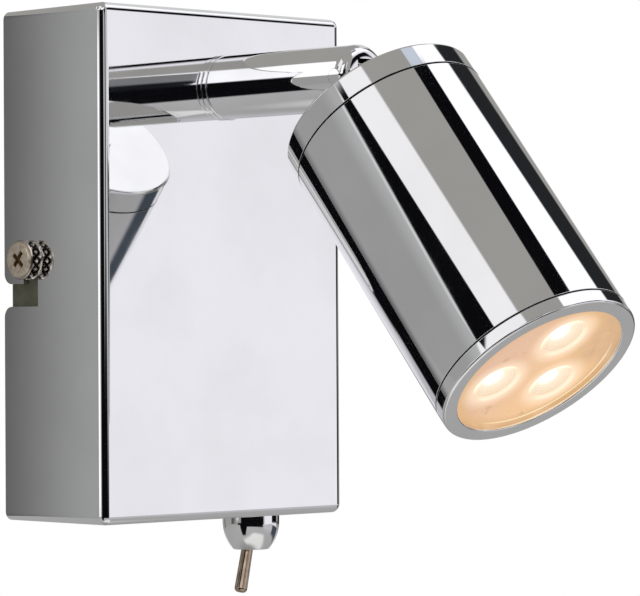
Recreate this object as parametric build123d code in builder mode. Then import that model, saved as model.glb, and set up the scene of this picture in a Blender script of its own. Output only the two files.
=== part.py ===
from build123d import *
import os
from math import cos, radians, sin

# Wall spotlight: a folded wall box with a toggle switch, an arm that swivels on it and a lamp head that tilts.
# The origin is on the wall, behind the middle of the box. +X is to the right, +Y goes into the wall, +Z is up.
# Sizes are in millimetres and angles in degrees.

# Fits and gaps
RUNNING_FIT = 0.06
THREAD_FIT = 0.05
ASSEMBLY_FIT = 0.1
FACE_GAP = 0.1
MOVING_GAP = 0.3

# Wall box, folded from sheet and open at the back
BOX_WIDTH = 88.4
BOX_HEIGHT = 140.0
BOX_DEPTH = 42.0
BOX_SHEET = 1.2
BOX_INNER_BEND = 1.2

# Thumbscrews at the two sides, and the hook slots that drop over them
SCREW_FROM_WALL = 11.4
SCREW_HEIGHT = 1.4
SCREW_SHANK = 6.0
SCREW_REACH = 9.0
KNURL_DIAMETER = 11.0
KNURL_LENGTH = 2.7
KNURL_CHAMFER = 0.3
KNURL_TEETH = 24
KNURL_DEPTH = 0.45
SCREW_CAP_DIAMETER = 9.8
SCREW_CAP_LENGTH = 1.9
SCREW_CAP_ROUND = 0.6
DRIVE_SPAN = 5.2
DRIVE_WIDTH = 1.3
DRIVE_DEPTH = 1.2
DRIVE_TURN = 40.0
HOOK_DROP = 9.6
HOOK_MOUTH = 6.2
HOOK_CORNER = 3.0

# Wall bracket, a plate with an ear folded forward at each side
BRACKET_SHEET = 1.5
BRACKET_BEND = 1.0
BRACKET_GAP = 0.3
PLATE_HEIGHT = 64.0
PLATE_SETBACK = 2.0
PLATE_CORNER = 3.0
EAR_HEIGHT = 26.0
EAR_REACH = 21.0
EAR_CORNER = 3.0
FIXING_SPACING = 60.3
FIXING_SLOT_WIDTH = 4.5
FIXING_SLOT_LENGTH = 9.0
CABLE_HOLE = 14.0
CABLE_HOLE_DROP = 12.0

# Terminal block on the bracket
POLES = 3
POLE_PITCH = 10.0
BLOCK_END = 0.6
BLOCK_DEPTH = 17.0
BLOCK_RISE = 13.0
BLOCK_CHAMFER = 0.8
TERMINAL_HEIGHT = 20.0
INSERT_DIAMETER = 5.4
INSERT_BORE = 3.4
INSERT_RISE = 5.0
INSERT_SETBACK = 1.5
CLAMP_SPACING = 8.4
CLAMP_SHANK = 3.0
CLAMP_HEAD = 4.0
CLAMP_HEAD_LENGTH = 2.4
BLOCK_SCREW_SHANK = 2.9
BLOCK_SCREW_HEAD = 4.2
BLOCK_SCREW_HEAD_LENGTH = 2.0
DRIVER_SLOT = 0.8
DRIVER_SLOT_DEPTH = 0.8

# Earth screw on the bracket
EARTH_INSET = 12.4
EARTH_HEIGHT = 20.0
EARTH_SHANK = 4.0
EARTH_HEAD = 8.0
EARTH_HEAD_LENGTH = 2.8
EARTH_HEAD_CHAMFER = 0.8
EARTH_WASHER = 10.0
EARTH_WASHER_SHEET = 1.0
EARTH_WASHER_LIP = 2.2

# Arm, its collar and the threaded nipple that it turns on
ARM_FROM_TOP = 21.4
ARM_DIAMETER = 17.5
ARM_REACH = 52.0
ARM_NOSE = 3.5
ARM_NOSE_ROUND = 2.5
ARM_BORE = 8.0
ARM_EDGE = 0.3
COLLAR_WIDTH = 1.9
COLLAR_DIAMETER = 17.9
NIPPLE_DIAMETER = 10.0
NIPPLE_BORE = 7.0
NIPPLE_GRIP = 10.0
NIPPLE_TAIL = 2.0
ARM_NUT_WIDTH = 14.0
ARM_NUT_LENGTH = 5.0

# Swivel stop and drag washers inside the box
STOP_WASHER = 1.0
STOP_WASHER_DIAMETER = 18.0
STOP_TAB_WIDTH = 3.0
STOP_TAB_REACH = 13.5
STOP_STUD_DIAMETER = 2.5
STOP_STUD_RADIUS = 11.5
STOP_STUD_LENGTH = 2.4
SPRING_WASHER = 0.8
SPRING_WASHER_DIAMETER = 18.0
SPRING_WASHER_RISE = 0.7

# Tilt joint in the arm's end
HEAD_TILT = 50.0
NECK_LENGTH = 13.2
TONGUE_THICKNESS = 5.0
TONGUE_WIDTH = 9.0
TILT_PIN = 4.0
TILT_WASHER = 0.5
TILT_WASHER_DIAMETER = 8.4
FLANGE_DIAMETER = 16.0
FLANGE_THICKNESS = 1.8
STUD_DIAMETER = 8.0
STUD_TAIL = 1.5
KNUCKLE_WASHER = 1.0
KNUCKLE_WASHER_DIAMETER = 16.0
KNUCKLE_NUT_WIDTH = 13.0
KNUCKLE_NUT_LENGTH = 5.0

# Head: rear cap, tube and front bezel
CAP_LENGTH = 6.9
CAP_FLOOR = 2.5
CAP_ROUND = 0.8
CAP_TAPER = 0.1
CAP_GROOVE = 0.5
CAP_GROOVE_DEPTH = 0.8
CAP_SPIGOT = 5.6
TUBE_LENGTH = 76.7
TUBE_WALL = 1.4
BEZEL_LENGTH = 3.9
BEZEL_LIP = 1.3
BEZEL_COVER = 1.45
BEZEL_SPIGOT = 5.0
SPIGOT_WALL = 0.9
SEAM_CHAMFER = 0.25
BEZEL_EDGE = 0.4
BEZEL_TAPER = 0.1

# Lamp, a two-pin reflector size with three emitters
LAMP_DIAMETER = 49.5
LAMP_GAP = 0.3
LAMP_LENGTH = 46.5
LAMP_RIM = 0.8
LAMP_BASE_LENGTH = 11.0
LAMP_BASE_REAR = 27.0
LAMP_BASE_FRONT = 31.0
LAMP_BASE_CHAMFER = 1.5
HEATSINK_CORE = 27.0
HEATSINK_SHOULDER = 6.0
FINS = 20
FIN_SLOT = 2.2
FIN_END = 2.0
PIN_SPACING = 10.0
PIN_NECK = 3.0
PIN_NECK_LENGTH = 4.4
PIN_HEAD = 5.0
PIN_HEAD_LENGTH = 2.6
BOARD_THICKNESS = 1.6
BOARD_GAP = 1.85
LED_COUNT = 3
LED_CIRCLE = 23.4
LED_START = 90.0
LED_SIDE = 3.4
LED_BASE = 0.8
LED_DOME = 3.0
OPTIC_DEPTH = 11.5
LENS_PLATE = 2.0
LENS_SEAT = 1.0
OPTIC_MOUTH = 15.0
OPTIC_TIP = 8.0
OPTIC_DISH = 1.0
OPTIC_WELL = 5.6
OPTIC_WELL_DEPTH = 3.0

# Lampholder and the strap that carries it on the rear cap
HOLDER_DIAMETER = 30.0
HOLDER_LENGTH = 16.0
HOLDER_CHAMFER = 1.0
HOLDER_WELL = 5.8
CONTACT_DIAMETER = 5.2
CONTACT_LENGTH = 1.2
STRAP_SHEET = 1.0
STRAP_BEND = 1.0
STRAP_WIDTH = 12.0
STRAP_SPAN = 31.0
STRAP_MOUTH = 12.0
HOLDER_SCREW_SPACING = 21.0
HOLDER_SCREW_SHANK = 3.0
HOLDER_SCREW_HEAD = 5.4
HOLDER_SCREW_HEAD_LENGTH = 2.0
HOLDER_SCREW_GRIP = 6.0

# Toggle switch in the box's bottom
SWITCH_INSET = 16.2
SWITCH_FROM_WALL = 21.0
SWITCH_BODY_LENGTH = 19.0
SWITCH_BODY_WIDTH = 13.0
SWITCH_BODY_HEIGHT = 15.0
SWITCH_BODY_ROUND = 1.0
BUSHING_DIAMETER = 9.6
BUSHING_BORE = 7.4
BUSHING_PLATE = 1.0
BUSHING_TOP_GAP = 3.6
LOCK_NUT_WIDTH = 13.0
LOCK_NUT_LENGTH = 2.5
LOCK_WASHER = 0.8
LOCK_WASHER_DIAMETER = 15.0
LOCK_WASHER_TEETH = 12
LOCK_WASHER_NOTCH = 2.0
DOME_DIAMETER = 16.2
DOME_HEIGHT = 10.5
DOME_FLAT = 10.0
DOME_SKIRT = 2.4
LEVER_HOLE = 7.6
LEVER_PIVOT_RISE = 6.6
LEVER_TILT = 12.8
LEVER_NECK = 3.2
LEVER_TIP = 3.7
LEVER_REACH = 19.4
LEVER_TAIL = 2.4
LEVER_TAIL_REACH = 6.0
LUG_SPACING = 10.0
LUG_WIDTH = 4.8
LUG_THICKNESS = 0.8
LUG_LENGTH = 7.0
LUG_HOLE = 1.8

# Lines and stations that several pieces share
box_outer_bend = BOX_INNER_BEND + BOX_SHEET
arm_height = BOX_HEIGHT / 2 - ARM_FROM_TOP
pivot = (0, -BOX_DEPTH - ARM_REACH, arm_height)
hook_height = SCREW_HEIGHT - HOOK_DROP
hook_width = SCREW_SHANK + 2 * ASSEMBLY_FIT
hook_reach = SCREW_FROM_WALL + hook_width / 2
head_radius = LAMP_DIAMETER / 2 + LAMP_GAP + SPIGOT_WALL + ASSEMBLY_FIT + TUBE_WALL
tube_bore = head_radius - TUBE_WALL
spigot_radius = tube_bore - ASSEMBLY_FIT
head_direction = (0, -cos(radians(HEAD_TILT)), -sin(radians(HEAD_TILT)))

# Distances from the tilt axis, along the head
rear = NECK_LENGTH
cap_floor = rear + CAP_FLOOR
tube_start = rear + CAP_LENGTH + CAP_GROOVE
tube_end = tube_start + TUBE_LENGTH
front = tube_end + BEZEL_LENGTH
lens_front = front - BEZEL_LIP
lens_back = lens_front - LENS_PLATE
board_front = lens_front - OPTIC_DEPTH
board_back = board_front - BOARD_THICKNESS
lamp_back = lens_front - LAMP_LENGTH
lamp_base_front = lamp_back + LAMP_BASE_LENGTH
holder_back = lamp_back - HOLDER_LENGTH

# Planes for turned outlines: local x is the radius and local y runs along the axis
arm_plane = Plane(origin=(0, -BOX_DEPTH, arm_height), x_dir=(1, 0, 0), z_dir=(0, 0, -1))
arm_axis = Axis(arm_plane.origin, (0, -1, 0))
arm_face = Plane(origin=arm_plane.origin, x_dir=(1, 0, 0), z_dir=(0, -1, 0))
head_plane = Plane(origin=pivot, x_dir=(1, 0, 0), z_dir=(0, -head_direction[2], head_direction[1]))
head_axis = Axis(pivot, head_direction)
head_face = Plane(origin=pivot, x_dir=(1, 0, 0), z_dir=head_direction)
tilt_plane = Plane(origin=pivot, x_dir=(0, -1, 0), z_dir=(-1, 0, 0))
tongue_plane = Plane(origin=pivot, x_dir=head_direction, z_dir=(1, 0, 0))
switch_origin = (BOX_WIDTH / 2 - SWITCH_INSET, -SWITCH_FROM_WALL, -BOX_HEIGHT / 2)
switch_plane = Plane(origin=switch_origin, x_dir=(1, 0, 0), z_dir=(0, 1, 0))
switch_axis = Axis(switch_origin, (0, 0, -1))
switch_face = Plane(origin=switch_origin, x_dir=(1, 0, 0), z_dir=(0, 0, -1))
screw_origin = (-BOX_WIDTH / 2, -SCREW_FROM_WALL, SCREW_HEIGHT)
screw_plane = Plane(origin=screw_origin, x_dir=(0, 0, 1), z_dir=(0, -1, 0))
screw_axis = Axis(screw_origin, (-1, 0, 0))
screw_face = Plane(origin=screw_origin, x_dir=(0, 1, 0), z_dir=(-1, 0, 0))


def outline(plane, points):
    """A closed outline as a face. A point may carry a third value, the radius that rounds it."""
    rounds = [point[2] if len(point) > 2 else 0 for point in points]
    with BuildSketch(plane) as drawn:
        with BuildLine():
            FilletPolyline(*[point[:2] for point in points], radius=rounds, close=True)
        make_face()
    return drawn.sketch


def ring(plane, axis, inner, outer, start, end):
    """A plain ring between two radii and two stations, turned about the axis."""
    return revolve(outline(plane, [(inner, start), (outer, start), (outer, end), (inner, end)]), axis=axis)


# Wall box: chromed steel sheet, with the arm's hole in front, the switch's hole below and a hook slot each side
with BuildPart() as cover_box:
    with BuildSketch(Plane.XZ):
        Rectangle(BOX_WIDTH, BOX_HEIGHT)
    extrude(amount=BOX_DEPTH)
    front_edges = cover_box.faces().sort_by(Axis.Y)[0].edges()
    fillet(front_edges + cover_box.edges().filter_by(Axis.Y), radius=box_outer_bend)
    offset(amount=-BOX_SHEET, openings=cover_box.faces().sort_by(Axis.Y)[-1])
    with Locations(arm_face):
        Hole(radius=NIPPLE_DIAMETER / 2 + RUNNING_FIT, depth=2 * BOX_SHEET)
    with Locations(switch_face):
        Hole(radius=BUSHING_DIAMETER / 2 + ASSEMBLY_FIT, depth=2 * BOX_SHEET)
    with BuildSketch(Plane.YZ):
        with Locations((0, hook_height)):
            Rectangle(2 * hook_reach, HOOK_MOUTH)
        with Locations((-SCREW_FROM_WALL, hook_height + HOOK_DROP / 2)):
            Rectangle(hook_width, HOOK_DROP)
        with Locations((-SCREW_FROM_WALL, SCREW_HEIGHT)):
            Circle(hook_width / 2)
    extrude(amount=BOX_WIDTH, both=True, mode=Mode.SUBTRACT)
    back_edges = cover_box.edges().filter_by(Axis.X).group_by(Axis.Y)[-1]
    fillet(back_edges.filter_by(lambda edge: edge.length < 2 * BOX_SHEET), radius=HOOK_CORNER)

# Thumbscrews: a knurled collar with a crosshead cap, on a shank that screws into the bracket's ear
with BuildPart() as thumbscrews:
    knurl_radius = KNURL_DIAMETER / 2
    cap_end = KNURL_LENGTH + SCREW_CAP_LENGTH
    revolve(
        outline(
            screw_plane,
            [
                (0, -SCREW_REACH),
                (SCREW_SHANK / 2, -SCREW_REACH),
                (SCREW_SHANK / 2, 0),
                (knurl_radius - KNURL_CHAMFER, 0),
                (knurl_radius, KNURL_CHAMFER),
                (knurl_radius, KNURL_LENGTH - KNURL_CHAMFER),
                (knurl_radius - KNURL_CHAMFER, KNURL_LENGTH),
                (SCREW_CAP_DIAMETER / 2, KNURL_LENGTH),
                (SCREW_CAP_DIAMETER / 2, cap_end, SCREW_CAP_ROUND),
                (0, cap_end),
            ],
        ),
        axis=screw_axis,
    )
    with BuildSketch(screw_face):
        with PolarLocations(knurl_radius, KNURL_TEETH):
            RegularPolygon(radius=KNURL_DEPTH, side_count=4)
    extrude(amount=KNURL_LENGTH, mode=Mode.SUBTRACT)
    with BuildSketch(screw_face.offset(cap_end)):
        with Locations(Rotation(0, 0, DRIVE_TURN)):
            Rectangle(DRIVE_SPAN, DRIVE_WIDTH)
            Rectangle(DRIVE_WIDTH, DRIVE_SPAN)
    extrude(amount=-DRIVE_DEPTH, mode=Mode.SUBTRACT)
    mirror(about=Plane.YZ)

# Wall bracket: plated steel, its plate flat on the wall and its tapped ears just inside the box's sides
bracket_width = BOX_WIDTH - 2 * (BOX_SHEET + BRACKET_GAP)
plate_width = bracket_width - 2 * (BRACKET_SHEET + BRACKET_BEND + PLATE_SETBACK)
earth_place = (EARTH_INSET - plate_width / 2, EARTH_HEIGHT)
with BuildPart() as wall_bracket:
    ear_middle = (SCREW_HEIGHT + hook_height) / 2
    with BuildSketch(Plane.XY.offset(ear_middle - EAR_HEIGHT / 2)) as strap:
        with Locations((0, -EAR_REACH / 2)):
            Rectangle(bracket_width, EAR_REACH)
        fillet(strap.vertices().group_by(Axis.Y)[-1], radius=BRACKET_BEND + BRACKET_SHEET)
        with Locations((0, -BRACKET_SHEET - EAR_REACH / 2)):
            Rectangle(bracket_width - 2 * BRACKET_SHEET, EAR_REACH, mode=Mode.SUBTRACT)
        fillet(strap.vertices().group_by(Axis.Y)[-2], radius=BRACKET_BEND)
    extrude(amount=EAR_HEIGHT)
    fillet(wall_bracket.edges().filter_by(Axis.X).group_by(Axis.Y)[0], radius=EAR_CORNER)
    with BuildSketch(Plane.XZ):
        RectangleRounded(plate_width, PLATE_HEIGHT, PLATE_CORNER)
    extrude(amount=BRACKET_SHEET)
    with BuildSketch(Plane.XZ):
        with GridLocations(FIXING_SPACING, 1, 2, 1):
            SlotOverall(FIXING_SLOT_LENGTH, FIXING_SLOT_WIDTH)
        with Locations((0, -CABLE_HOLE_DROP)):
            Circle(CABLE_HOLE / 2)
        with Locations((0, TERMINAL_HEIGHT)):
            with GridLocations(POLE_PITCH, 1, POLES - 1, 1):
                Circle(BLOCK_SCREW_SHANK / 2 + THREAD_FIT)
        with Locations(earth_place):
            Circle(EARTH_SHANK / 2 + THREAD_FIT)
    extrude(amount=BRACKET_SHEET, mode=Mode.SUBTRACT)
    with BuildSketch(Plane.YZ):
        with Locations((-SCREW_FROM_WALL, SCREW_HEIGHT)):
            Circle(SCREW_SHANK / 2 + THREAD_FIT)
    extrude(amount=BOX_WIDTH, both=True, mode=Mode.SUBTRACT)

# Terminal block: a moulded bar with a brass tube for each pole and two clamp wells in front of each tube
block_plane = Plane.XZ.offset(BRACKET_SHEET)
block_front = Plane.XZ.offset(BRACKET_SHEET + BLOCK_RISE)
insert_place = (0, -BRACKET_SHEET - INSERT_RISE)
clamp_seat = BLOCK_RISE - INSERT_RISE - INSERT_DIAMETER / 2
with BuildPart() as terminal_block:
    with BuildSketch(block_plane):
        with Locations((0, TERMINAL_HEIGHT)):
            Rectangle(POLES * POLE_PITCH + 2 * BLOCK_END, BLOCK_DEPTH)
    extrude(amount=BLOCK_RISE)
    chamfer(terminal_block.faces().sort_by(Axis.Y)[0].edges(), length=BLOCK_CHAMFER)
    with BuildSketch(Plane.XY.offset(TERMINAL_HEIGHT - BLOCK_DEPTH / 2)):
        with Locations(insert_place):
            with GridLocations(POLE_PITCH, 1, POLES, 1):
                Circle(INSERT_DIAMETER / 2 + ASSEMBLY_FIT)
    extrude(amount=BLOCK_DEPTH, mode=Mode.SUBTRACT)
    with BuildSketch(block_front):
        with Locations((0, TERMINAL_HEIGHT)):
            with GridLocations(POLE_PITCH, CLAMP_SPACING, POLES, 2):
                Circle(CLAMP_HEAD / 2 + ASSEMBLY_FIT)
    extrude(amount=-BLOCK_RISE + INSERT_RISE, mode=Mode.SUBTRACT)
    with BuildSketch(block_front):
        with Locations((0, TERMINAL_HEIGHT)):
            with GridLocations(POLE_PITCH, 1, POLES - 1, 1):
                Circle(BLOCK_SCREW_SHANK / 2 + ASSEMBLY_FIT)
    extrude(amount=-BLOCK_RISE, mode=Mode.SUBTRACT)
    with BuildSketch(block_front):
        with Locations((0, TERMINAL_HEIGHT)):
            with GridLocations(POLE_PITCH, 1, POLES - 1, 1):
                Circle(BLOCK_SCREW_HEAD / 2 + ASSEMBLY_FIT)
    extrude(amount=-BLOCK_SCREW_HEAD_LENGTH, mode=Mode.SUBTRACT)

# Terminal inserts: brass tubes tapped across for the clamp screws
with BuildPart() as terminal_inserts:
    insert_length = BLOCK_DEPTH - 2 * INSERT_SETBACK
    with BuildSketch(Plane.XY.offset(TERMINAL_HEIGHT - insert_length / 2)):
        with Locations(insert_place):
            with GridLocations(POLE_PITCH, 1, POLES, 1):
                Circle(INSERT_DIAMETER / 2)
                Circle(INSERT_BORE / 2, mode=Mode.SUBTRACT)
    extrude(amount=insert_length)
    with BuildSketch(block_front):
        with Locations((0, TERMINAL_HEIGHT)):
            with GridLocations(POLE_PITCH, CLAMP_SPACING, POLES, 2):
                Circle(CLAMP_SHANK / 2 + THREAD_FIT)
    extrude(amount=-BLOCK_RISE + INSERT_RISE, mode=Mode.SUBTRACT)

# Clamp screws: slotted brass screws, backed off so that their ends stand level with the bore of the insert
with BuildPart() as terminal_screws:
    clamp_front = BRACKET_SHEET + INSERT_RISE + INSERT_DIAMETER / 2 + CLAMP_HEAD_LENGTH
    with BuildSketch(Plane.XZ.offset(clamp_front)):
        with Locations((0, TERMINAL_HEIGHT)):
            with GridLocations(POLE_PITCH, CLAMP_SPACING, POLES, 2):
                Circle(CLAMP_HEAD / 2)
    extrude(amount=-CLAMP_HEAD_LENGTH)
    with BuildSketch(Plane.XZ.offset(clamp_front - CLAMP_HEAD_LENGTH)):
        with Locations((0, TERMINAL_HEIGHT)):
            with GridLocations(POLE_PITCH, CLAMP_SPACING, POLES, 2):
                Circle(CLAMP_SHANK / 2)
    extrude(amount=-(INSERT_DIAMETER - INSERT_BORE) / 2)
    with BuildSketch(Plane.XZ.offset(clamp_front)):
        with Locations((0, TERMINAL_HEIGHT)):
            with GridLocations(POLE_PITCH, CLAMP_SPACING, POLES, 2):
                Rectangle(CLAMP_HEAD, DRIVER_SLOT)
    extrude(amount=-DRIVER_SLOT_DEPTH, mode=Mode.SUBTRACT)

# Block screws: hold the terminal block on the bracket's plate, sunk level with the block
with BuildPart() as terminal_fixing_screws:
    with BuildSketch(block_front):
        with Locations((0, TERMINAL_HEIGHT)):
            with GridLocations(POLE_PITCH, 1, POLES - 1, 1):
                Circle(BLOCK_SCREW_HEAD / 2)
    extrude(amount=-BLOCK_SCREW_HEAD_LENGTH)
    with BuildSketch(block_front):
        with Locations((0, TERMINAL_HEIGHT)):
            with GridLocations(POLE_PITCH, 1, POLES - 1, 1):
                Circle(BLOCK_SCREW_SHANK / 2)
    extrude(amount=-BLOCK_RISE - BRACKET_SHEET)
    with BuildSketch(block_front):
        with Locations((0, TERMINAL_HEIGHT)):
            with GridLocations(POLE_PITCH, 1, POLES - 1, 1):
                Rectangle(BLOCK_SCREW_HEAD, DRIVER_SLOT)
    extrude(amount=-DRIVER_SLOT_DEPTH, mode=Mode.SUBTRACT)

# Earth washer: a square cup that keeps the earth lead under the screw's head
with BuildPart() as earth_washer:
    with BuildSketch(Plane.XZ.offset(BRACKET_SHEET)):
        with Locations(earth_place):
            Rectangle(EARTH_WASHER, EARTH_WASHER)
            Circle(EARTH_SHANK / 2 + ASSEMBLY_FIT, mode=Mode.SUBTRACT)
    extrude(amount=EARTH_WASHER_SHEET)
    with BuildSketch(Plane.XZ.offset(BRACKET_SHEET)):
        with Locations(earth_place):
            with GridLocations(1, EARTH_WASHER - EARTH_WASHER_SHEET, 1, 2):
                Rectangle(EARTH_WASHER, EARTH_WASHER_SHEET)
    extrude(amount=EARTH_WASHER_LIP)

# Earth screw: brass, slotted pan head, screwed into the bracket's plate
with BuildPart() as earth_screw:
    earth_seat = BRACKET_SHEET + EARTH_WASHER_SHEET
    earth_top = earth_seat + EARTH_HEAD_LENGTH
    with BuildSketch(Plane.XZ):
        with Locations(earth_place):
            Circle(EARTH_SHANK / 2)
    extrude(amount=earth_top)
    with BuildSketch(Plane.XZ.offset(earth_seat)):
        with Locations(earth_place):
            Circle(EARTH_HEAD / 2)
    extrude(amount=EARTH_HEAD_LENGTH)
    chamfer(earth_screw.faces().sort_by(Axis.Y)[0].edges(), length=EARTH_HEAD_CHAMFER)
    with BuildSketch(Plane.XZ.offset(earth_top)):
        with Locations(earth_place):
            Rectangle(EARTH_HEAD, DRIVER_SLOT)
    extrude(amount=-DRIVER_SLOT_DEPTH, mode=Mode.SUBTRACT)

# Arm collar: the fixed ring on the box that the arm turns against
with BuildPart() as arm_collar:
    collar_radius = COLLAR_DIAMETER / 2
    collar_bore = NIPPLE_DIAMETER / 2 + RUNNING_FIT
    revolve(
        outline(
            arm_plane,
            [
                (collar_bore, 0),
                (collar_radius - ARM_EDGE, 0),
                (collar_radius, ARM_EDGE),
                (collar_radius, COLLAR_WIDTH - ARM_EDGE),
                (collar_radius - ARM_EDGE, COLLAR_WIDTH),
                (collar_bore, COLLAR_WIDTH),
            ],
        ),
        axis=arm_axis,
    )

# Arm: turned bar, bored for the leads, with a slot in its nose that opens forward and down
arm_start = COLLAR_WIDTH + FACE_GAP
arm_end = ARM_REACH + ARM_NOSE
slot_half = TONGUE_WIDTH / 2 + MOVING_GAP
slot_width = TONGUE_THICKNESS + 2 * (TILT_WASHER + FACE_GAP)
with BuildPart() as arm_tube:
    arm_radius = ARM_DIAMETER / 2
    grip_radius = NIPPLE_DIAMETER / 2 + THREAD_FIT
    revolve(
        outline(
            arm_plane,
            [
                (grip_radius, arm_start),
                (arm_radius - ARM_EDGE, arm_start),
                (arm_radius, arm_start + ARM_EDGE),
                (arm_radius, arm_end, ARM_NOSE_ROUND),
                (0, arm_end),
                (0, ARM_REACH),
                (ARM_BORE / 2, ARM_REACH),
                (ARM_BORE / 2, arm_start + NIPPLE_GRIP),
                (grip_radius, arm_start + NIPPLE_GRIP),
            ],
        ),
        axis=arm_axis,
    )
    with BuildSketch(tilt_plane):
        Circle(slot_half)
        with Locations((ARM_DIAMETER / 2, 0)):
            Rectangle(ARM_DIAMETER, 2 * slot_half)
        with Locations((0, -ARM_DIAMETER / 2)):
            Rectangle(2 * slot_half, ARM_DIAMETER)
        with Locations((ARM_DIAMETER / 2, -ARM_DIAMETER / 2)):
            Rectangle(ARM_DIAMETER, ARM_DIAMETER)
    extrude(amount=slot_width / 2, both=True, mode=Mode.SUBTRACT)
    with BuildSketch(tilt_plane):
        Circle(TILT_PIN / 2)
    extrude(amount=ARM_DIAMETER, both=True, mode=Mode.SUBTRACT)

# Nipple: hollow threaded tube, fast in the arm, that turns in the box and carries the leads
stop_washer_back = -BOX_SHEET - FACE_GAP
spring_back = stop_washer_back - STOP_WASHER
nut_back = spring_back - SPRING_WASHER_RISE - SPRING_WASHER
nut_front = nut_back - ARM_NUT_LENGTH
with BuildPart() as arm_nipple:
    ring(
        arm_plane,
        arm_axis,
        NIPPLE_BORE / 2,
        NIPPLE_DIAMETER / 2,
        nut_front - NIPPLE_TAIL,
        arm_start + NIPPLE_GRIP,
    )

# Swivel stop: a washer that turns with the nipple, its tab meeting the stud a little short of a full turn
with BuildPart() as swivel_stop_washer:
    with BuildSketch(arm_face.offset(stop_washer_back)):
        Circle(STOP_WASHER_DIAMETER / 2)
        with Locations((0, -STOP_TAB_REACH / 2)):
            Rectangle(STOP_TAB_WIDTH, STOP_TAB_REACH)
        Circle(NIPPLE_DIAMETER / 2 + THREAD_FIT, mode=Mode.SUBTRACT)
    extrude(amount=-STOP_WASHER)

with BuildPart() as swivel_stop_stud:
    with BuildSketch(arm_face.offset(-BOX_SHEET)):
        with Locations((0, STOP_STUD_RADIUS)):
            Circle(STOP_STUD_DIAMETER / 2)
    extrude(amount=-STOP_STUD_LENGTH)

# Spring washer: a shallow cone under the nut that gives the arm its drag
with BuildPart() as arm_spring_washer:
    cone_bore = NIPPLE_DIAMETER / 2 + ASSEMBLY_FIT
    revolve(
        outline(
            arm_plane,
            [
                (cone_bore, nut_back),
                (SPRING_WASHER_DIAMETER / 2, spring_back - SPRING_WASHER),
                (SPRING_WASHER_DIAMETER / 2, spring_back),
                (cone_bore, nut_back + SPRING_WASHER),
            ],
        ),
        axis=arm_axis,
    )

with BuildPart() as arm_nut:
    with BuildSketch(arm_face.offset(nut_back)):
        RegularPolygon(radius=ARM_NUT_WIDTH / 2, side_count=6, major_radius=False)
        Circle(NIPPLE_DIAMETER / 2 + THREAD_FIT, mode=Mode.SUBTRACT)
    extrude(amount=-ARM_NUT_LENGTH)

# Tilt pin: pressed across the nose and dressed flush with the arm
with BuildPart() as tilt_pin:
    with BuildSketch(tilt_plane):
        Circle(TILT_PIN / 2)
    extrude(amount=ARM_DIAMETER, both=True)
    with Locations(arm_face):
        Cylinder(
            ARM_DIAMETER / 2,
            arm_end,
            align=(Align.CENTER, Align.CENTER, Align.MIN),
            mode=Mode.INTERSECT,
        )

# Tilt washers: thin fibre discs at both sides of the tongue that hold the head where it is put
with BuildPart() as tilt_washers:
    with BuildSketch(tilt_plane.offset(slot_width / 2 - TILT_WASHER)):
        Circle(TILT_WASHER_DIAMETER / 2)
        Circle(TILT_PIN / 2 + RUNNING_FIT, mode=Mode.SUBTRACT)
    extrude(amount=TILT_WASHER)
    mirror(about=Plane.YZ)

# Knuckle: a flat tongue in the arm's slot, with a flange on the rear cap and a threaded stud through it
with BuildPart() as head_knuckle:
    flange_start = rear - FLANGE_THICKNESS
    stud_end = cap_floor + STRAP_SHEET + KNUCKLE_WASHER + KNUCKLE_NUT_LENGTH + STUD_TAIL
    with BuildSketch(tongue_plane):
        Circle(TONGUE_WIDTH / 2)
        with Locations((flange_start / 2, 0)):
            Rectangle(flange_start, TONGUE_WIDTH)
        Circle(TILT_PIN / 2 + RUNNING_FIT, mode=Mode.SUBTRACT)
    extrude(amount=TONGUE_THICKNESS / 2, both=True)
    with BuildSketch(head_face.offset(flange_start)):
        Circle(FLANGE_DIAMETER / 2)
    extrude(amount=FLANGE_THICKNESS)
    with BuildSketch(head_face.offset(rear)):
        Circle(STUD_DIAMETER / 2)
    extrude(amount=stud_end - rear)

# Rear cap: a turned cup with a shadow groove and a spigot that the tube slides over
with BuildPart() as rear_cap:
    stud_hole = STUD_DIAMETER / 2 + ASSEMBLY_FIT
    cap_bore = spigot_radius - SPIGOT_WALL
    groove_radius = head_radius - CAP_GROOVE_DEPTH
    revolve(
        outline(
            head_plane,
            [
                (stud_hole, rear),
                (head_radius - CAP_TAPER, rear, CAP_ROUND),
                (head_radius, rear + CAP_LENGTH),
                (groove_radius, rear + CAP_LENGTH),
                (groove_radius, tube_start),
                (spigot_radius, tube_start),
                (spigot_radius, tube_start + CAP_SPIGOT),
                (cap_bore, tube_start + CAP_SPIGOT),
                (cap_bore, cap_floor),
                (stud_hole, cap_floor),
            ],
        ),
        axis=head_axis,
    )

# Head tube: a plain chromed tube
with BuildPart() as head_tube:
    revolve(
        outline(
            head_plane,
            [
                (tube_bore, tube_start),
                (head_radius, tube_start),
                (head_radius, tube_end - SEAM_CHAMFER),
                (head_radius - SEAM_CHAMFER, tube_end),
                (tube_bore, tube_end),
            ],
        ),
        axis=head_axis,
    )

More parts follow.
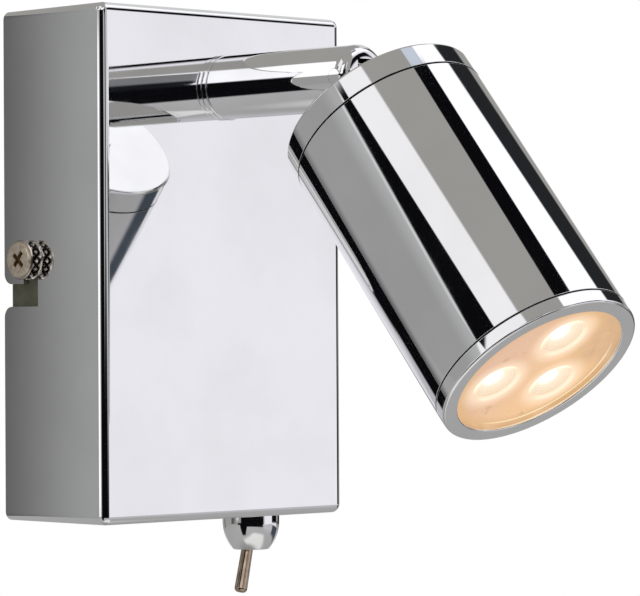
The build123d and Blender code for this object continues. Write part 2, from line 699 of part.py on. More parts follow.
# Front bezel: a screwed ring with a flat front that keeps the lamp in
with BuildPart() as front_bezel:
    aperture = LAMP_DIAMETER / 2 - BEZEL_COVER
    bezel_bore = LAMP_DIAMETER / 2 + LAMP_GAP
    revolve(
        outline(
            head_plane,
            [
                (bezel_bore, tube_end - BEZEL_SPIGOT),
                (spigot_radius, tube_end - BEZEL_SPIGOT),
                (spigot_radius, tube_end),
                (head_radius - SEAM_CHAMFER, tube_end),
                (head_radius, tube_end + SEAM_CHAMFER),
                (head_radius - BEZEL_TAPER, front - BEZEL_EDGE),
                (head_radius - BEZEL_TAPER - BEZEL_EDGE, front),
                (aperture + BEZEL_EDGE, front),
                (aperture, front - BEZEL_EDGE),
                (aperture, lens_front),
                (bezel_bore, lens_front),
            ],
        ),
        axis=head_axis,
    )

# Holder strap: a bent strip, clamped on the cap's floor, whose two lips carry the lampholder
with BuildPart() as holder_strap:
    strap_length = holder_back - cap_floor
    strap_middle = (0, cap_floor + strap_length / 2)
    with BuildSketch(head_plane):
        with Locations(strap_middle):
            RectangleRounded(STRAP_SPAN, strap_length, STRAP_BEND + STRAP_SHEET)
            RectangleRounded(
                STRAP_SPAN - 2 * STRAP_SHEET,
                strap_length - 2 * STRAP_SHEET,
                STRAP_BEND,
                mode=Mode.SUBTRACT,
            )
        with Locations((0, holder_back)):
            Rectangle(STRAP_MOUTH, 2 * STRAP_SHEET + STRAP_BEND, mode=Mode.SUBTRACT)
    extrude(amount=STRAP_WIDTH / 2, both=True)
    with Locations(head_face.offset(cap_floor + STRAP_SHEET)):
        Hole(radius=STUD_DIAMETER / 2 + ASSEMBLY_FIT, depth=STRAP_SHEET)
    with Locations(head_face.offset(holder_back)):
        with GridLocations(HOLDER_SCREW_SPACING, 1, 2, 1):
            Hole(radius=HOLDER_SCREW_SHANK / 2 + ASSEMBLY_FIT, depth=STRAP_SHEET)

# Washer and nut on the knuckle's stud, which clamp the strap to the rear cap
with BuildPart() as knuckle_washer:
    washer_start = cap_floor + STRAP_SHEET
    ring(
        head_plane,
        head_axis,
        STUD_DIAMETER / 2 + ASSEMBLY_FIT,
        KNUCKLE_WASHER_DIAMETER / 2,
        washer_start,
        washer_start + KNUCKLE_WASHER,
    )

with BuildPart() as knuckle_nut:
    with BuildSketch(head_face.offset(washer_start + KNUCKLE_WASHER)):
        RegularPolygon(radius=KNUCKLE_NUT_WIDTH / 2, side_count=6, major_radius=False)
        Circle(STUD_DIAMETER / 2 + THREAD_FIT, mode=Mode.SUBTRACT)
    extrude(amount=KNUCKLE_NUT_LENGTH)

# Lampholder: a ceramic puck with a well for each lamp pin
well_depth = PIN_NECK_LENGTH + PIN_HEAD_LENGTH + CONTACT_LENGTH
with BuildPart() as lampholder:
    with BuildSketch(head_face.offset(holder_back)):
        Circle(HOLDER_DIAMETER / 2)
    extrude(amount=HOLDER_LENGTH)
    chamfer(lampholder.edges().filter_by(GeomType.CIRCLE), length=HOLDER_CHAMFER)
    with Locations(head_face.offset(lamp_back)):
        with GridLocations(PIN_SPACING, 1, 2, 1):
            Hole(radius=HOLDER_WELL / 2, depth=well_depth)
    with BuildSketch(head_face.offset(holder_back)):
        with GridLocations(HOLDER_SCREW_SPACING, 1, 2, 1):
            Circle(HOLDER_SCREW_SHANK / 2 + THREAD_FIT)
    extrude(amount=HOLDER_SCREW_GRIP, mode=Mode.SUBTRACT)

with BuildPart() as holder_contacts:
    with BuildSketch(head_face.offset(lamp_back - well_depth)):
        with GridLocations(PIN_SPACING, 1, 2, 1):
            Circle(CONTACT_DIAMETER / 2)
    extrude(amount=CONTACT_LENGTH)

with BuildPart() as holder_screws:
    lip_back = holder_back - STRAP_SHEET
    with BuildSketch(head_face.offset(lip_back)):
        with GridLocations(HOLDER_SCREW_SPACING, 1, 2, 1):
            Circle(HOLDER_SCREW_HEAD / 2)
    extrude(amount=-HOLDER_SCREW_HEAD_LENGTH)
    with BuildSketch(head_face.offset(lip_back)):
        with GridLocations(HOLDER_SCREW_SPACING, 1, 2, 1):
            Circle(HOLDER_SCREW_SHANK / 2)
    extrude(amount=STRAP_SHEET + HOLDER_SCREW_GRIP)
    with BuildSketch(head_face.offset(lip_back - HOLDER_SCREW_HEAD_LENGTH)):
        with GridLocations(HOLDER_SCREW_SPACING, 1, 2, 1):
            Rectangle(HOLDER_SCREW_HEAD, DRIVER_SLOT)
    extrude(amount=DRIVER_SLOT_DEPTH, mode=Mode.SUBTRACT)

# Lamp: moulded base with two headed pins, a finned heatsink, the board, its emitters and the three-cup lens
with BuildPart() as lamp_base:
    revolve(
        outline(
            head_plane,
            [
                (0, lamp_back),
                (LAMP_BASE_REAR / 2 - LAMP_BASE_CHAMFER, lamp_back),
                (LAMP_BASE_REAR / 2, lamp_back + LAMP_BASE_CHAMFER),
                (LAMP_BASE_FRONT / 2, lamp_base_front),
                (0, lamp_base_front),
            ],
        ),
        axis=head_axis,
    )

with BuildPart() as lamp_pins:
    with BuildSketch(head_face.offset(lamp_back)):
        with GridLocations(PIN_SPACING, 1, 2, 1):
            Circle(PIN_NECK / 2)
    extrude(amount=-PIN_NECK_LENGTH)
    with BuildSketch(head_face.offset(lamp_back - PIN_NECK_LENGTH)):
        with GridLocations(PIN_SPACING, 1, 2, 1):
            Circle(PIN_HEAD / 2)
    extrude(amount=-PIN_HEAD_LENGTH)

lens_radius = LAMP_DIAMETER / 2 - LAMP_RIM - ASSEMBLY_FIT
cup_radius = lens_radius - LENS_SEAT
with BuildPart() as lamp_heatsink:
    rim_bore = LAMP_DIAMETER / 2 - LAMP_RIM
    fin_start = lamp_base_front + FIN_END
    revolve(
        outline(
            head_plane,
            [
                (0, lamp_base_front),
                (LAMP_BASE_FRONT / 2, lamp_base_front),
                (LAMP_DIAMETER / 2, board_back, HEATSINK_SHOULDER),
                (LAMP_DIAMETER / 2, lens_front),
                (rim_bore, lens_front),
                (rim_bore, lens_back),
                (cup_radius, lens_back),
                (cup_radius, board_back),
                (0, board_back),
            ],
        ),
        axis=head_axis,
    )
    with BuildSketch(head_face.offset(fin_start)):
        with PolarLocations(HEATSINK_CORE / 2 + LAMP_DIAMETER / 4, FINS):
            Rectangle(LAMP_DIAMETER / 2, FIN_SLOT)
    extrude(amount=board_back - FIN_END - fin_start, mode=Mode.SUBTRACT)

with BuildPart() as led_board:
    with BuildSketch(head_face.offset(board_back)):
        Circle(cup_radius - BOARD_GAP)
    extrude(amount=BOARD_THICKNESS)

with BuildPart() as led_emitters:
    with BuildSketch(head_face.offset(board_front)):
        with PolarLocations(LED_CIRCLE / 2, LED_COUNT, start_angle=LED_START):
            Rectangle(LED_SIDE, LED_SIDE)
    extrude(amount=LED_BASE)
    with Locations(head_face.offset(board_front + LED_BASE)):
        with PolarLocations(LED_CIRCLE / 2, LED_COUNT, start_angle=LED_START):
            Sphere(LED_DOME / 2, arc_size1=0)

with BuildPart() as lamp_lens:
    optic_length = OPTIC_DEPTH - LENS_PLATE - ASSEMBLY_FIT
    dish_radius = ((OPTIC_MOUTH / 2) ** 2 + OPTIC_DISH**2) / (2 * OPTIC_DISH)
    with BuildSketch(head_face.offset(lens_back)):
        Circle(lens_radius)
    extrude(amount=LENS_PLATE)
    with Locations(head_face.offset(lens_back - optic_length)):
        with PolarLocations(LED_CIRCLE / 2, LED_COUNT, start_angle=LED_START):
            Cone(
                OPTIC_TIP / 2,
                OPTIC_MOUTH / 2,
                optic_length,
                align=(Align.CENTER, Align.CENTER, Align.MIN),
            )
    with BuildSketch(head_face.offset(lens_back - optic_length)):
        with PolarLocations(LED_CIRCLE / 2, LED_COUNT, start_angle=LED_START):
            Circle(OPTIC_WELL / 2)
    extrude(amount=OPTIC_WELL_DEPTH, mode=Mode.SUBTRACT)
    with Locations(head_face.offset(lens_front - OPTIC_DISH + dish_radius)):
        with PolarLocations(LED_CIRCLE / 2, LED_COUNT, start_angle=LED_START):
            Sphere(dish_radius, mode=Mode.SUBTRACT)

# Switch: inside the box, from the wall of the box inwards, a toothed washer, a nut and the bushing with its body
lock_washer_back = -BOX_SHEET - LOCK_WASHER
lock_nut_back = lock_washer_back - LOCK_NUT_LENGTH
plate_back = lock_nut_back - BUSHING_PLATE
with BuildPart() as switch_lock_washer:
    with BuildSketch(switch_face.offset(-BOX_SHEET)):
        Circle(LOCK_WASHER_DIAMETER / 2)
        Circle(BUSHING_DIAMETER / 2 + ASSEMBLY_FIT, mode=Mode.SUBTRACT)
        with PolarLocations(LOCK_WASHER_DIAMETER / 2, LOCK_WASHER_TEETH):
            RegularPolygon(radius=LOCK_WASHER_NOTCH / 2, side_count=4, mode=Mode.SUBTRACT)
    extrude(amount=-LOCK_WASHER)

with BuildPart() as switch_lock_nut:
    with BuildSketch(switch_face.offset(lock_washer_back)):
        RegularPolygon(radius=LOCK_NUT_WIDTH / 2, side_count=6, major_radius=False)
        Circle(BUSHING_DIAMETER / 2 + THREAD_FIT, mode=Mode.SUBTRACT)
    extrude(amount=-LOCK_NUT_LENGTH)

# Bushing: the threaded neck of the switch, with a plate that closes the body
with BuildPart() as switch_bushing:
    bushing_end = DOME_HEIGHT - BUSHING_TOP_GAP
    with BuildSketch(switch_face.offset(plate_back)):
        Rectangle(SWITCH_BODY_LENGTH, SWITCH_BODY_WIDTH)
    extrude(amount=BUSHING_PLATE)
    with BuildSketch(switch_face.offset(plate_back)):
        Circle(BUSHING_DIAMETER / 2)
    extrude(amount=bushing_end - plate_back)
    with BuildSketch(switch_face.offset(plate_back)):
        Circle(BUSHING_BORE / 2)
    extrude(amount=bushing_end - plate_back, mode=Mode.SUBTRACT)

with BuildPart() as switch_body:
    with BuildSketch(switch_face.offset(plate_back)):
        Rectangle(SWITCH_BODY_LENGTH, SWITCH_BODY_WIDTH)
    extrude(amount=-SWITCH_BODY_HEIGHT)
    fillet(switch_body.edges().filter_by(Axis.Z), radius=SWITCH_BODY_ROUND)

with BuildPart() as switch_terminals:
    with BuildSketch(switch_face.offset(plate_back - SWITCH_BODY_HEIGHT)):
        with GridLocations(LUG_SPACING, 1, 2, 1):
            Rectangle(LUG_THICKNESS, LUG_WIDTH)
    extrude(amount=-LUG_LENGTH)
    lug_height = BOX_HEIGHT / 2 + plate_back - SWITCH_BODY_HEIGHT - LUG_LENGTH + LUG_WIDTH / 2
    with BuildSketch(Plane.YZ):
        with Locations((-SWITCH_FROM_WALL, -lug_height)):
            Circle(LUG_HOLE / 2)
    extrude(amount=BOX_WIDTH, both=True, mode=Mode.SUBTRACT)

# Dome nut: a chromed bell that clamps the switch and guides the lever
with BuildPart() as switch_dome_nut:
    dome_bore = BUSHING_DIAMETER / 2 + THREAD_FIT
    dome_seat = DOME_HEIGHT - BUSHING_TOP_GAP
    with BuildSketch(switch_plane):
        with BuildLine():
            skirt = Line((DOME_DIAMETER / 2, 0), (DOME_DIAMETER / 2, DOME_SKIRT))
            bell = TangentArc(skirt @ 1, (DOME_FLAT / 2, DOME_HEIGHT), tangent=skirt % 1)
            Polyline(
                bell @ 1,
                (LEVER_HOLE / 2, DOME_HEIGHT),
                (LEVER_HOLE / 2, dome_seat),
                (dome_bore, dome_seat),
                (dome_bore, 0),
                skirt @ 0,
            )
        make_face()
    revolve(axis=switch_axis)

# Lever: a ball in the bushing's bore, a tail inside and a slightly flared lever with a round tip outside
lever_pivot = DOME_HEIGHT - LEVER_PIVOT_RISE
lever_origin = (switch_origin[0], switch_origin[1], switch_origin[2] - lever_pivot)
lever_direction = (-sin(radians(LEVER_TILT)), 0, -cos(radians(LEVER_TILT)))
lever_plane = Plane(origin=lever_origin, x_dir=(0, 1, 0), z_dir=(lever_direction[2], 0, -lever_direction[0]))
with BuildPart() as switch_lever:
    tip_radius = LEVER_TIP / 2
    revolve(
        outline(
            lever_plane,
            [
                (0, -LEVER_TAIL_REACH),
                (LEVER_TAIL / 2, -LEVER_TAIL_REACH),
                (LEVER_TAIL / 2, 0),
                (LEVER_NECK / 2, 0),
                (tip_radius, LEVER_REACH - tip_radius),
                (0, LEVER_REACH - tip_radius),
            ],
        ),
        axis=Axis(lever_origin, lever_direction),
    )
    with Locations(lever_origin):
        Sphere(BUSHING_BORE / 2 - RUNNING_FIT)
    with Locations(lever_plane.from_local_coords((0, LEVER_REACH - tip_radius, 0))):
        Sphere(tip_radius)

pieces = {
    "cover_box": cover_box,
    "thumbscrews": thumbscrews,
    "wall_bracket": wall_bracket,
    "terminal_block": terminal_block,
    "terminal_inserts": terminal_inserts,
    "terminal_screws": terminal_screws,
    "terminal_fixing_screws": terminal_fixing_screws,
    "earth_washer": earth_washer,
    "earth_screw": earth_screw,
    "arm_collar": arm_collar,
    "arm_tube": arm_tube,
    "arm_nipple": arm_nipple,
    "swivel_stop_washer": swivel_stop_washer,
    "swivel_stop_stud": swivel_stop_stud,
    "arm_spring_washer": arm_spring_washer,
    "arm_nut": arm_nut,
    "tilt_pin": tilt_pin,
    "tilt_washers": tilt_washers,
    "head_knuckle": head_knuckle,
    "rear_cap": rear_cap,
    "head_tube": head_tube,
    "front_bezel": front_bezel,
    "holder_strap": holder_strap,
    "knuckle_washer": knuckle_washer,
    "knuckle_nut": knuckle_nut,
    "lampholder": lampholder,
    "holder_contacts": holder_contacts,
    "holder_screws": holder_screws,
    "lamp_base": lamp_base,
    "lamp_pins": lamp_pins,
    "lamp_heatsink": lamp_heatsink,
    "led_board": led_board,
    "led_emitters": led_emitters,
    "lamp_lens": lamp_lens,
    "switch_lock_washer": switch_lock_washer,
    "switch_lock_nut": switch_lock_nut,
    "switch_bushing": switch_bushing,
    "switch_body": switch_body,
    "switch_terminals": switch_terminals,
    "switch_dome_nut": switch_dome_nut,
    "switch_lever": switch_lever,
}
os.makedirs("parts", exist_ok=True)
for name, piece in pieces.items():
    piece.part.label = name
    export_step(piece.part, f"parts/{name}.step")
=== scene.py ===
from math import atan2, cos, hypot, pi, radians, sin, sqrt

import bmesh
import bpy
from mathutils import Matrix, Vector


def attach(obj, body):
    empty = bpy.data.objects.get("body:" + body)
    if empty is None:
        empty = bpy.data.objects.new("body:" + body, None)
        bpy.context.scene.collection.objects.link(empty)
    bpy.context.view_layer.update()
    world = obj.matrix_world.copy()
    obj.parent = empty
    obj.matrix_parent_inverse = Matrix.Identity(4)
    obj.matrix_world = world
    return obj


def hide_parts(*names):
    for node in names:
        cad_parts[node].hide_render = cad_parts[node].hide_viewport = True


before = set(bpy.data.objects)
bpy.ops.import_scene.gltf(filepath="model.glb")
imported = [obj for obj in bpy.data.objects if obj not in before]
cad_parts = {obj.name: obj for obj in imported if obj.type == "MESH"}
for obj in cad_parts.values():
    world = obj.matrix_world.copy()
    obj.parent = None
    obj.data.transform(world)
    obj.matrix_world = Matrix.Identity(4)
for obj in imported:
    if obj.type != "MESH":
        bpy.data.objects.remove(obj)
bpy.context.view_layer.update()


# Studio: a pale floor below the lamp, a long lens at the height of the box, and a white room.
# Soft panels and dark flags stand round the lamp, because polished chrome shows only its surroundings.
class Wire:
    """One output of a shader node. Arithmetic on wires adds Math nodes to the tree that they are in."""

    def __init__(self, socket):
        self.socket = socket

    def node(self, kind, settings, sockets, output=0):
        """Adds a node of a kind, sets it up, and fills or links its sockets."""
        tree = self.socket.id_data
        made = tree.nodes.new(kind)
        for name, value in settings.items():
            setattr(made, name, value)
        for key, value in sockets.items():
            if isinstance(value, Wire):
                tree.links.new(value.socket, made.inputs[key])
            else:
                made.inputs[key].default_value = value
        return Wire(made.outputs[output])

    def math(self, operation, first, second=0.0):
        return self.node("ShaderNodeMath", {"operation": operation}, {0: first, 1: second})

    def __add__(self, other):
        return self.math("ADD", self, other)

    def __sub__(self, other):
        return self.math("SUBTRACT", self, other)

    def __rsub__(self, other):
        return self.math("SUBTRACT", other, self)

    def __mul__(self, other):
        return self.math("MULTIPLY", self, other)

    __radd__ = __add__
    __rmul__ = __mul__

    def rise(self, low, high):
        """0 below low and 1 above high, with a soft slope between them."""
        return self.node(
            "ShaderNodeMapRange",
            {"interpolation_type": "SMOOTHSTEP"},
            {"Value": self, "From Min": low, "From Max": high},
        )

    def mix(self, first, second):
        """A colour that goes from first to second as this value goes from 0 to 1."""
        sockets = {"Factor": self, 6: first, 7: second}
        return self.node("ShaderNodeMix", {"data_type": "RGBA"}, sockets, 2)

    def parts(self):
        """The three numbers of a vector."""
        split = self.node("ShaderNodeSeparateXYZ", {}, {0: self}).socket.node
        return [Wire(output) for output in split.outputs]

    def along(self, way):
        """How far a vector reaches along a direction."""
        return self.node("ShaderNodeVectorMath", {"operation": "DOT_PRODUCT"}, {0: self, 1: way}, 1)

    def to(self, node, socket):
        self.socket.id_data.links.new(self.socket, node.inputs[socket])


FLOOR_LEVEL = -0.3
FLOOR_HALF = 1.2
FLOOR_ROUGHNESS = 0.8
FLOOR_COLOUR = (0.92, 0.92, 0.92, 1.0)
FLOOR_GREY = (0.40, 0.40, 0.395, 1.0)
FLOOR_SHADE_BELOW = (0.28, 0.28, 0.275, 1.0)
FLOOR_PALE = (0.76, 0.76, 0.74, 1.0)
FLOOR_BLUE = (0.06, 0.072, 0.09, 1.0)
ROOM_BEIGE = (0.335, 0.33, 0.31, 1.0)
ROOM_GREY = (0.325, 0.325, 0.32, 1.0)
ROOM_SILVER = (0.44, 0.445, 0.44, 1.0)
ROOM_DUSK = (0.10, 0.10, 0.10, 1.0)
ROOM_PALE = (0.66, 0.67, 0.67, 1.0)
ROOM_LIGHT = (0.8, 0.8, 0.8, 1.0)
WHITE = (1.0, 1.0, 1.0, 1.0)
PANEL = (1.1, 1.1, 1.12, 1.0)
SOFT_PANEL = (0.90, 0.89, 0.90, 1.0)
LAVENDER = (0.86, 0.85, 0.89, 1.0)
DUSKY = (0.55, 0.545, 0.57, 1.0)
SKYLIGHT = (0.58, 0.63, 0.72, 1.0)
FLAG = (0.003, 0.003, 0.004, 1.0)
SLATE = (0.018, 0.019, 0.021, 1.0)

# Each panel of the room: its softness, its colour and its corners, as turn and lift in degrees
PANELS = [
    (3.0, ROOM_GREY, [(-175, -30), (-108, -30), (-108, 30), (-175, 30)]),
    (6.0, ROOM_DUSK, [(-205, -40), (-172, -40), (-172, 4), (-205, 4)]),
    (6.0, ROOM_SILVER, [(-122, -10), (-100, 0), (-100, 30), (-112, 30)]),
    (5.0, LAVENDER, [(14, -42), (84, -42), (84, 58), (14, 58)]),
    (5.0, DUSKY, [(14, -42), (84, -42), (84, -11), (14, -11)]),
    (4.0, FLAG, [(14, 10), (53, 10), (53, 33), (14, 33)]),
    (1.5, PANEL, [(9, 46), (86, 34), (86, 70), (9, 66)]),
    (1.0, SKYLIGHT, [(15, 66), (47, 62.6), (51, 78), (15, 78)]),
    (0.7, FLAG, [(4, 65.2), (42.8, 60.4), (52.6, 64.7), (35, 68.6), (17, 71)]),
    (2.0, ROOM_PALE, [(88, 47), (136, 14), (145, 20), (128, 44), (88, 58)]),
    (1.0, SLATE, [(87.2, 33), (112.5, 12), (104.5, 33.5), (82.5, 50.5)]),
    (2.0, FLAG, [(52, -6), (122, -6), (118, 7), (52, 7)]),
    (4.0, PANEL, [(122, 2), (146, 2), (146, 15), (122, 15)]),
    (1.2, SOFT_PANEL, [(-111, 7), (-80, 7), (-61, 48.7), (-100, 59.2)]),
    (0.5, PANEL, [(-125, -3.4), (-95, -3.4), (-95, 5), (-118.5, 5), (-125, 0)]),
    (0.5, ROOM_PALE, [(-111.6, 17), (-107, 16.8), (-104.5, 29), (-106, 29)]),
    (0.45, FLAG, [(-110.4, 17), (-105, 16.8), (-92.6, 32.2), (-101.4, 34.2), (-104.9, 29.5)]),
    (0.6, FLAG, [(-104.6, 29.6), (-100.8, 33.6), (-101.6, 35.2), (-105.8, 31)]),
    (2.0, FLAG, [(-84, -24), (-28, -24), (-28, 10.5), (-84, 10.5)]),
    (1.5, FLAG, [(-98, -24), (-80, -24), (-80, -6), (-98, -6)]),
    (2.0, FLAG, [(-32, -24), (10, -24), (10, 7), (-32, 7)]),
    (2.5, ROOM_PALE, [(-7, -1), (9, -1), (9, 8), (-7, 8)]),
    (2.0, ROOM_SILVER, [(83, -4), (97, -4), (97, 6), (83, 6)]),
    (1.2, ROOM_SILVER, [(-36.5, -0.5), (-19, 2.2), (-19, 7), (-36.5, 7)]),
    (1.5, PANEL, [(-62, 11), (-20, 11), (-14, 36.5), (-62, 36.5)]),
    (0.8, PANEL, [(-138.6, 6.8), (-134.8, 8.4), (-133.5, 19), (-141.6, 19)]),
    (0.8, PANEL, [(-141.6, 18.5), (-133, 18.5), (-140, 38), (-155.5, 37)]),
]
world = bpy.data.worlds.new("studio_room")
world.use_nodes = True
bpy.context.scene.world = world
background = world.node_tree.nodes["Background"]
direction = Wire(world.node_tree.nodes.new("ShaderNodeTexCoord").outputs["Generated"])
across, inward, upward = direction.parts()
turn = direction.math("ARCTAN2", across, inward * -1.0) * (180 / pi)
lift = direction.math("ARCSINE", upward) * (180 / pi)
room = ROOM_BEIGE
for blur, colour, corners in PANELS:
    inside = 1.0
    for (turn_from, lift_from), (turn_to, lift_to) in zip(corners, corners[1:] + corners[:1]):
        length = hypot(turn_to - turn_from, lift_to - lift_from)
        slant = (lift_from - lift_to) / length
        level = (turn_to - turn_from) / length
        edge = turn_from * slant + lift_from * level
        inside = (turn * slant + lift * level).rise(edge - blur, edge + blur) * inside
    room = inside.mix(room, colour)
light_path = world.node_tree.nodes.new("ShaderNodeLightPath").outputs
mirrored = Wire(light_path["Is Glossy Ray"]) + Wire(light_path["Is Transmission Ray"])
seen = mirrored.mix(ROOM_LIGHT, room)
Wire(light_path["Is Camera Ray"]).mix(seen, WHITE).to(background, "Color")


def stage_sheet(name, matrix, corners):
    """A flat sheet of the studio with a plain material, and that material's shader and nodes."""
    shape = bmesh.new()
    shape.faces.new([shape.verts.new(matrix @ Vector((right, up, 0.0))) for right, up in corners])
    mesh = bpy.data.meshes.new(name)
    shape.to_mesh(mesh)
    shape.free()
    paint = bpy.data.materials.new(name + "_paint")
    paint.use_nodes = True
    mesh.materials.append(paint)
    sheet = bpy.data.objects.new(name, mesh)
    bpy.context.scene.collection.objects.link(sheet)
    return sheet, paint.node_tree.nodes["Principled BSDF"], paint.node_tree.nodes


# Where the floor's tones for mirrors begin and end, in metres: reach from the point below the box, and
# distance to its right and back. A slant is how much right and back count across an edge that runs askew.
UNDER_REACH = (0.02, 0.2)
PALE_REACH = (0.05, 0.14)
PALE_END = (0.3, 0.42)
PALE_BACK = (-0.06, -0.01)
PALE_LEFT = (-0.22, -0.12)
PALE_RIGHT = (0.1, 0.2)
DUSK_REACH = (0.33, 0.8)
DUSK_RIGHT = (0.05, 0.3)
BLUE_SLANT = (0.53, 0.848)
BLUE_EDGE = (-0.055, 0.035)
BLUE_REACH = (0.42, 0.58)
BLUE_RIGHT = (0.12, 0.3)
BLUE_BACK = (0.0, 0.25)
DIM_SLANT = 1.35
DIM_EDGE = (-0.1, -0.03)
DIM_REACH = (0.24, 0.3)
DIM_BACK = (-0.08, -0.03)
FAR_REACH = (0.72, 0.86)
FAR_RIGHT = (0.12, 0.2)
FAR_BACK = (-0.4, -0.1)
floor_corners = [(x * FLOOR_HALF, y * FLOOR_HALF) for x, y in ((-1, -1), (1, -1), (1, 1), (-1, 1))]
floor_place = Matrix.Translation((0, 0, FLOOR_LEVEL))
floor_shader, floor_nodes = stage_sheet("floor", floor_place, floor_corners)[1:]
floor_shader.inputs["Roughness"].default_value = FLOOR_ROUGHNESS
floor_shader.inputs["Specular IOR Level"].default_value = 0.0
floor_spot = Wire(floor_nodes.new("ShaderNodeTexCoord").outputs["Object"])
floor_sockets = {0: floor_spot, 1: (0.0, 0.0, FLOOR_LEVEL)}
floor_out = floor_spot.node("ShaderNodeVectorMath", {"operation": "DISTANCE"}, floor_sockets, 1)
floor_right, floor_back = floor_spot.parts()[:2]
# Painted light and shade for mirrors: in reflections the floor is grey, darkest below the box, with a pale
# patch, a dusky far patch, and dark blue and black patches
floor_tone = floor_out.rise(*UNDER_REACH).mix(FLOOR_SHADE_BELOW, FLOOR_GREY)
floor_near = floor_out.rise(*PALE_REACH) * (1.0 - floor_out.rise(*PALE_END))
floor_front = (1.0 - floor_back.rise(*PALE_BACK)) * (1.0 - floor_right.rise(*PALE_RIGHT))
floor_front = floor_front * floor_right.rise(*PALE_LEFT)
floor_tone = (floor_near * floor_front).mix(floor_tone, FLOOR_PALE)
floor_tone = (floor_out.rise(*DUSK_REACH) * floor_right.rise(*DUSK_RIGHT)).mix(floor_tone, DUSKY)
floor_slant = floor_right * BLUE_SLANT[0] + floor_back * BLUE_SLANT[1]
floor_blue = floor_slant.rise(*BLUE_EDGE) * floor_out.rise(*BLUE_REACH)
floor_blue = floor_blue * floor_right.rise(*BLUE_RIGHT) * (1.0 - floor_back.rise(*BLUE_BACK))
floor_tone = floor_blue.mix(floor_tone, FLOOR_BLUE)
floor_slant = floor_right - floor_back * DIM_SLANT
floor_dim = (1.0 - floor_slant.rise(*DIM_EDGE)) * floor_out.rise(*DIM_REACH)
floor_tone = (floor_dim * (1.0 - floor_back.rise(*DIM_BACK))).mix(floor_tone, FLAG)
floor_far = floor_out.rise(*FAR_REACH) * (1.0 - floor_back.rise(*FAR_BACK))
floor_tone = (floor_far * (1.0 - floor_right.rise(*FAR_RIGHT))).mix(floor_tone, FLAG)
floor_mirrored = Wire(floor_nodes.new("ShaderNodeLightPath").outputs["Is Glossy Ray"])
floor_mirrored.mix(FLOOR_COLOUR, floor_tone).to(floor_shader, "Base Color")


def stand_card(name, facing, away, corners, upright, fade, shades):
    """A card that only mirrors show. It stands square to a turn, and its shade runs across or up it."""
    way = Vector((sin(facing), -cos(facing), 0.0))
    side = Vector((way.y, -way.x, 0.0))
    up = Vector((0, 0, 1))
    axes = Matrix((side, up, side.cross(up))).transposed().to_4x4()
    card, shader, nodes = stage_sheet(name, Matrix.Translation(way * away) @ axes, corners)
    shader.inputs["Base Color"].default_value = (0.0, 0.0, 0.0, 1.0)
    shader.inputs["Specular IOR Level"].default_value = 0.0
    shader.inputs["Emission Strength"].default_value = 1.0
    spot = Wire(nodes.new("ShaderNodeTexCoord").outputs["Object"])
    spot.along(up if upright else side).rise(*fade).mix(*shades).to(shader, "Emission Color")
    card.visible_camera = False
    card.visible_diffuse = False
    card.visible_shadow = False
    card.visible_transmission = False


# One card shades what the left side of the box mirrors, and one darkens the arm's image in the front
SIDE_TURN = radians(-141)
SIDE_AWAY = 0.05
SIDE_CARD = [(-0.060, -0.085), (-0.015, -0.085), (-0.015, 0.085), (-0.060, 0.085)]
SIDE_FADE = (-0.062, -0.026)
SIDE_SHADES = ((0.33, 0.333, 0.33, 1.0), (0.10, 0.098, 0.096, 1.0))
ARM_TURN = radians(-43)
ARM_AWAY = 0.4
ARM_CARD = [(-0.2, 0.1), (-0.0375, 0.1), (-0.0465, 0.151), (-0.0635, 0.197), (-0.0865, 0.244)]
ARM_CARD += [(-0.1215, 0.294), (-0.142, 0.319), (-0.2, 0.319)]
ARM_FADE = (0.165, 0.205)
ARM_SHADES = ((0.008, 0.009, 0.011, 1.0), (0.2, 0.2, 0.205, 1.0))
stand_card("side_card", SIDE_TURN, SIDE_AWAY, SIDE_CARD, False, SIDE_FADE, SIDE_SHADES)
stand_card("arm_card", ARM_TURN, ARM_AWAY, ARM_CARD, True, ARM_FADE, ARM_SHADES)

SOFTBOX_SIZE = 0.9
SOFTBOX_POWER = 9.0
SOFTBOX_PLACE = Vector((-0.9, -0.8, 1.1))
SOFTBOX_AIM = Vector((0.0, -0.08, 0.0))
softbox = bpy.data.lights.new("softbox", "AREA")
softbox.shape = "DISK"
softbox.size = SOFTBOX_SIZE
softbox.energy = SOFTBOX_POWER
softbox_stand = bpy.data.objects.new("softbox", softbox)
softbox_stand.location = SOFTBOX_PLACE
softbox_stand.rotation_euler = (SOFTBOX_AIM - SOFTBOX_PLACE).to_track_quat("-Z", "Y").to_euler()
softbox_stand.visible_glossy = False
bpy.context.scene.collection.objects.link(softbox_stand)

CAMERA_PLACE = (-0.63264, -0.74159, -0.0163)
CAMERA_TURN = radians(-43.69)
CAMERA_RISE = radians(-0.423)
CAMERA_ROLL = radians(-0.317)
CAMERA_SENSOR = 36.0
CAMERA_FOCUS = 192.7
camera_lens = bpy.data.cameras.new("camera")
camera_lens.sensor_fit = "HORIZONTAL"
camera_lens.sensor_width = CAMERA_SENSOR
camera_lens.lens = CAMERA_FOCUS
camera = bpy.data.objects.new("camera", camera_lens)
camera_back = Vector(
    (sin(CAMERA_TURN) * cos(CAMERA_RISE), -cos(CAMERA_TURN) * cos(CAMERA_RISE), sin(CAMERA_RISE))
)
camera_side = Vector((cos(CAMERA_TURN), sin(CAMERA_TURN), 0.0))
camera_up = camera_back.cross(camera_side)
camera_axes = Matrix((camera_side, camera_up, camera_back)).transposed()
camera_axes = camera_axes @ Matrix.Rotation(CAMERA_ROLL, 3, "Z")
camera.matrix_world = Matrix.Translation(CAMERA_PLACE) @ camera_axes.to_4x4()
bpy.context.scene.collection.objects.link(camera)
bpy.context.scene.camera = camera
bpy.context.scene.view_settings.view_transform = "Standard"


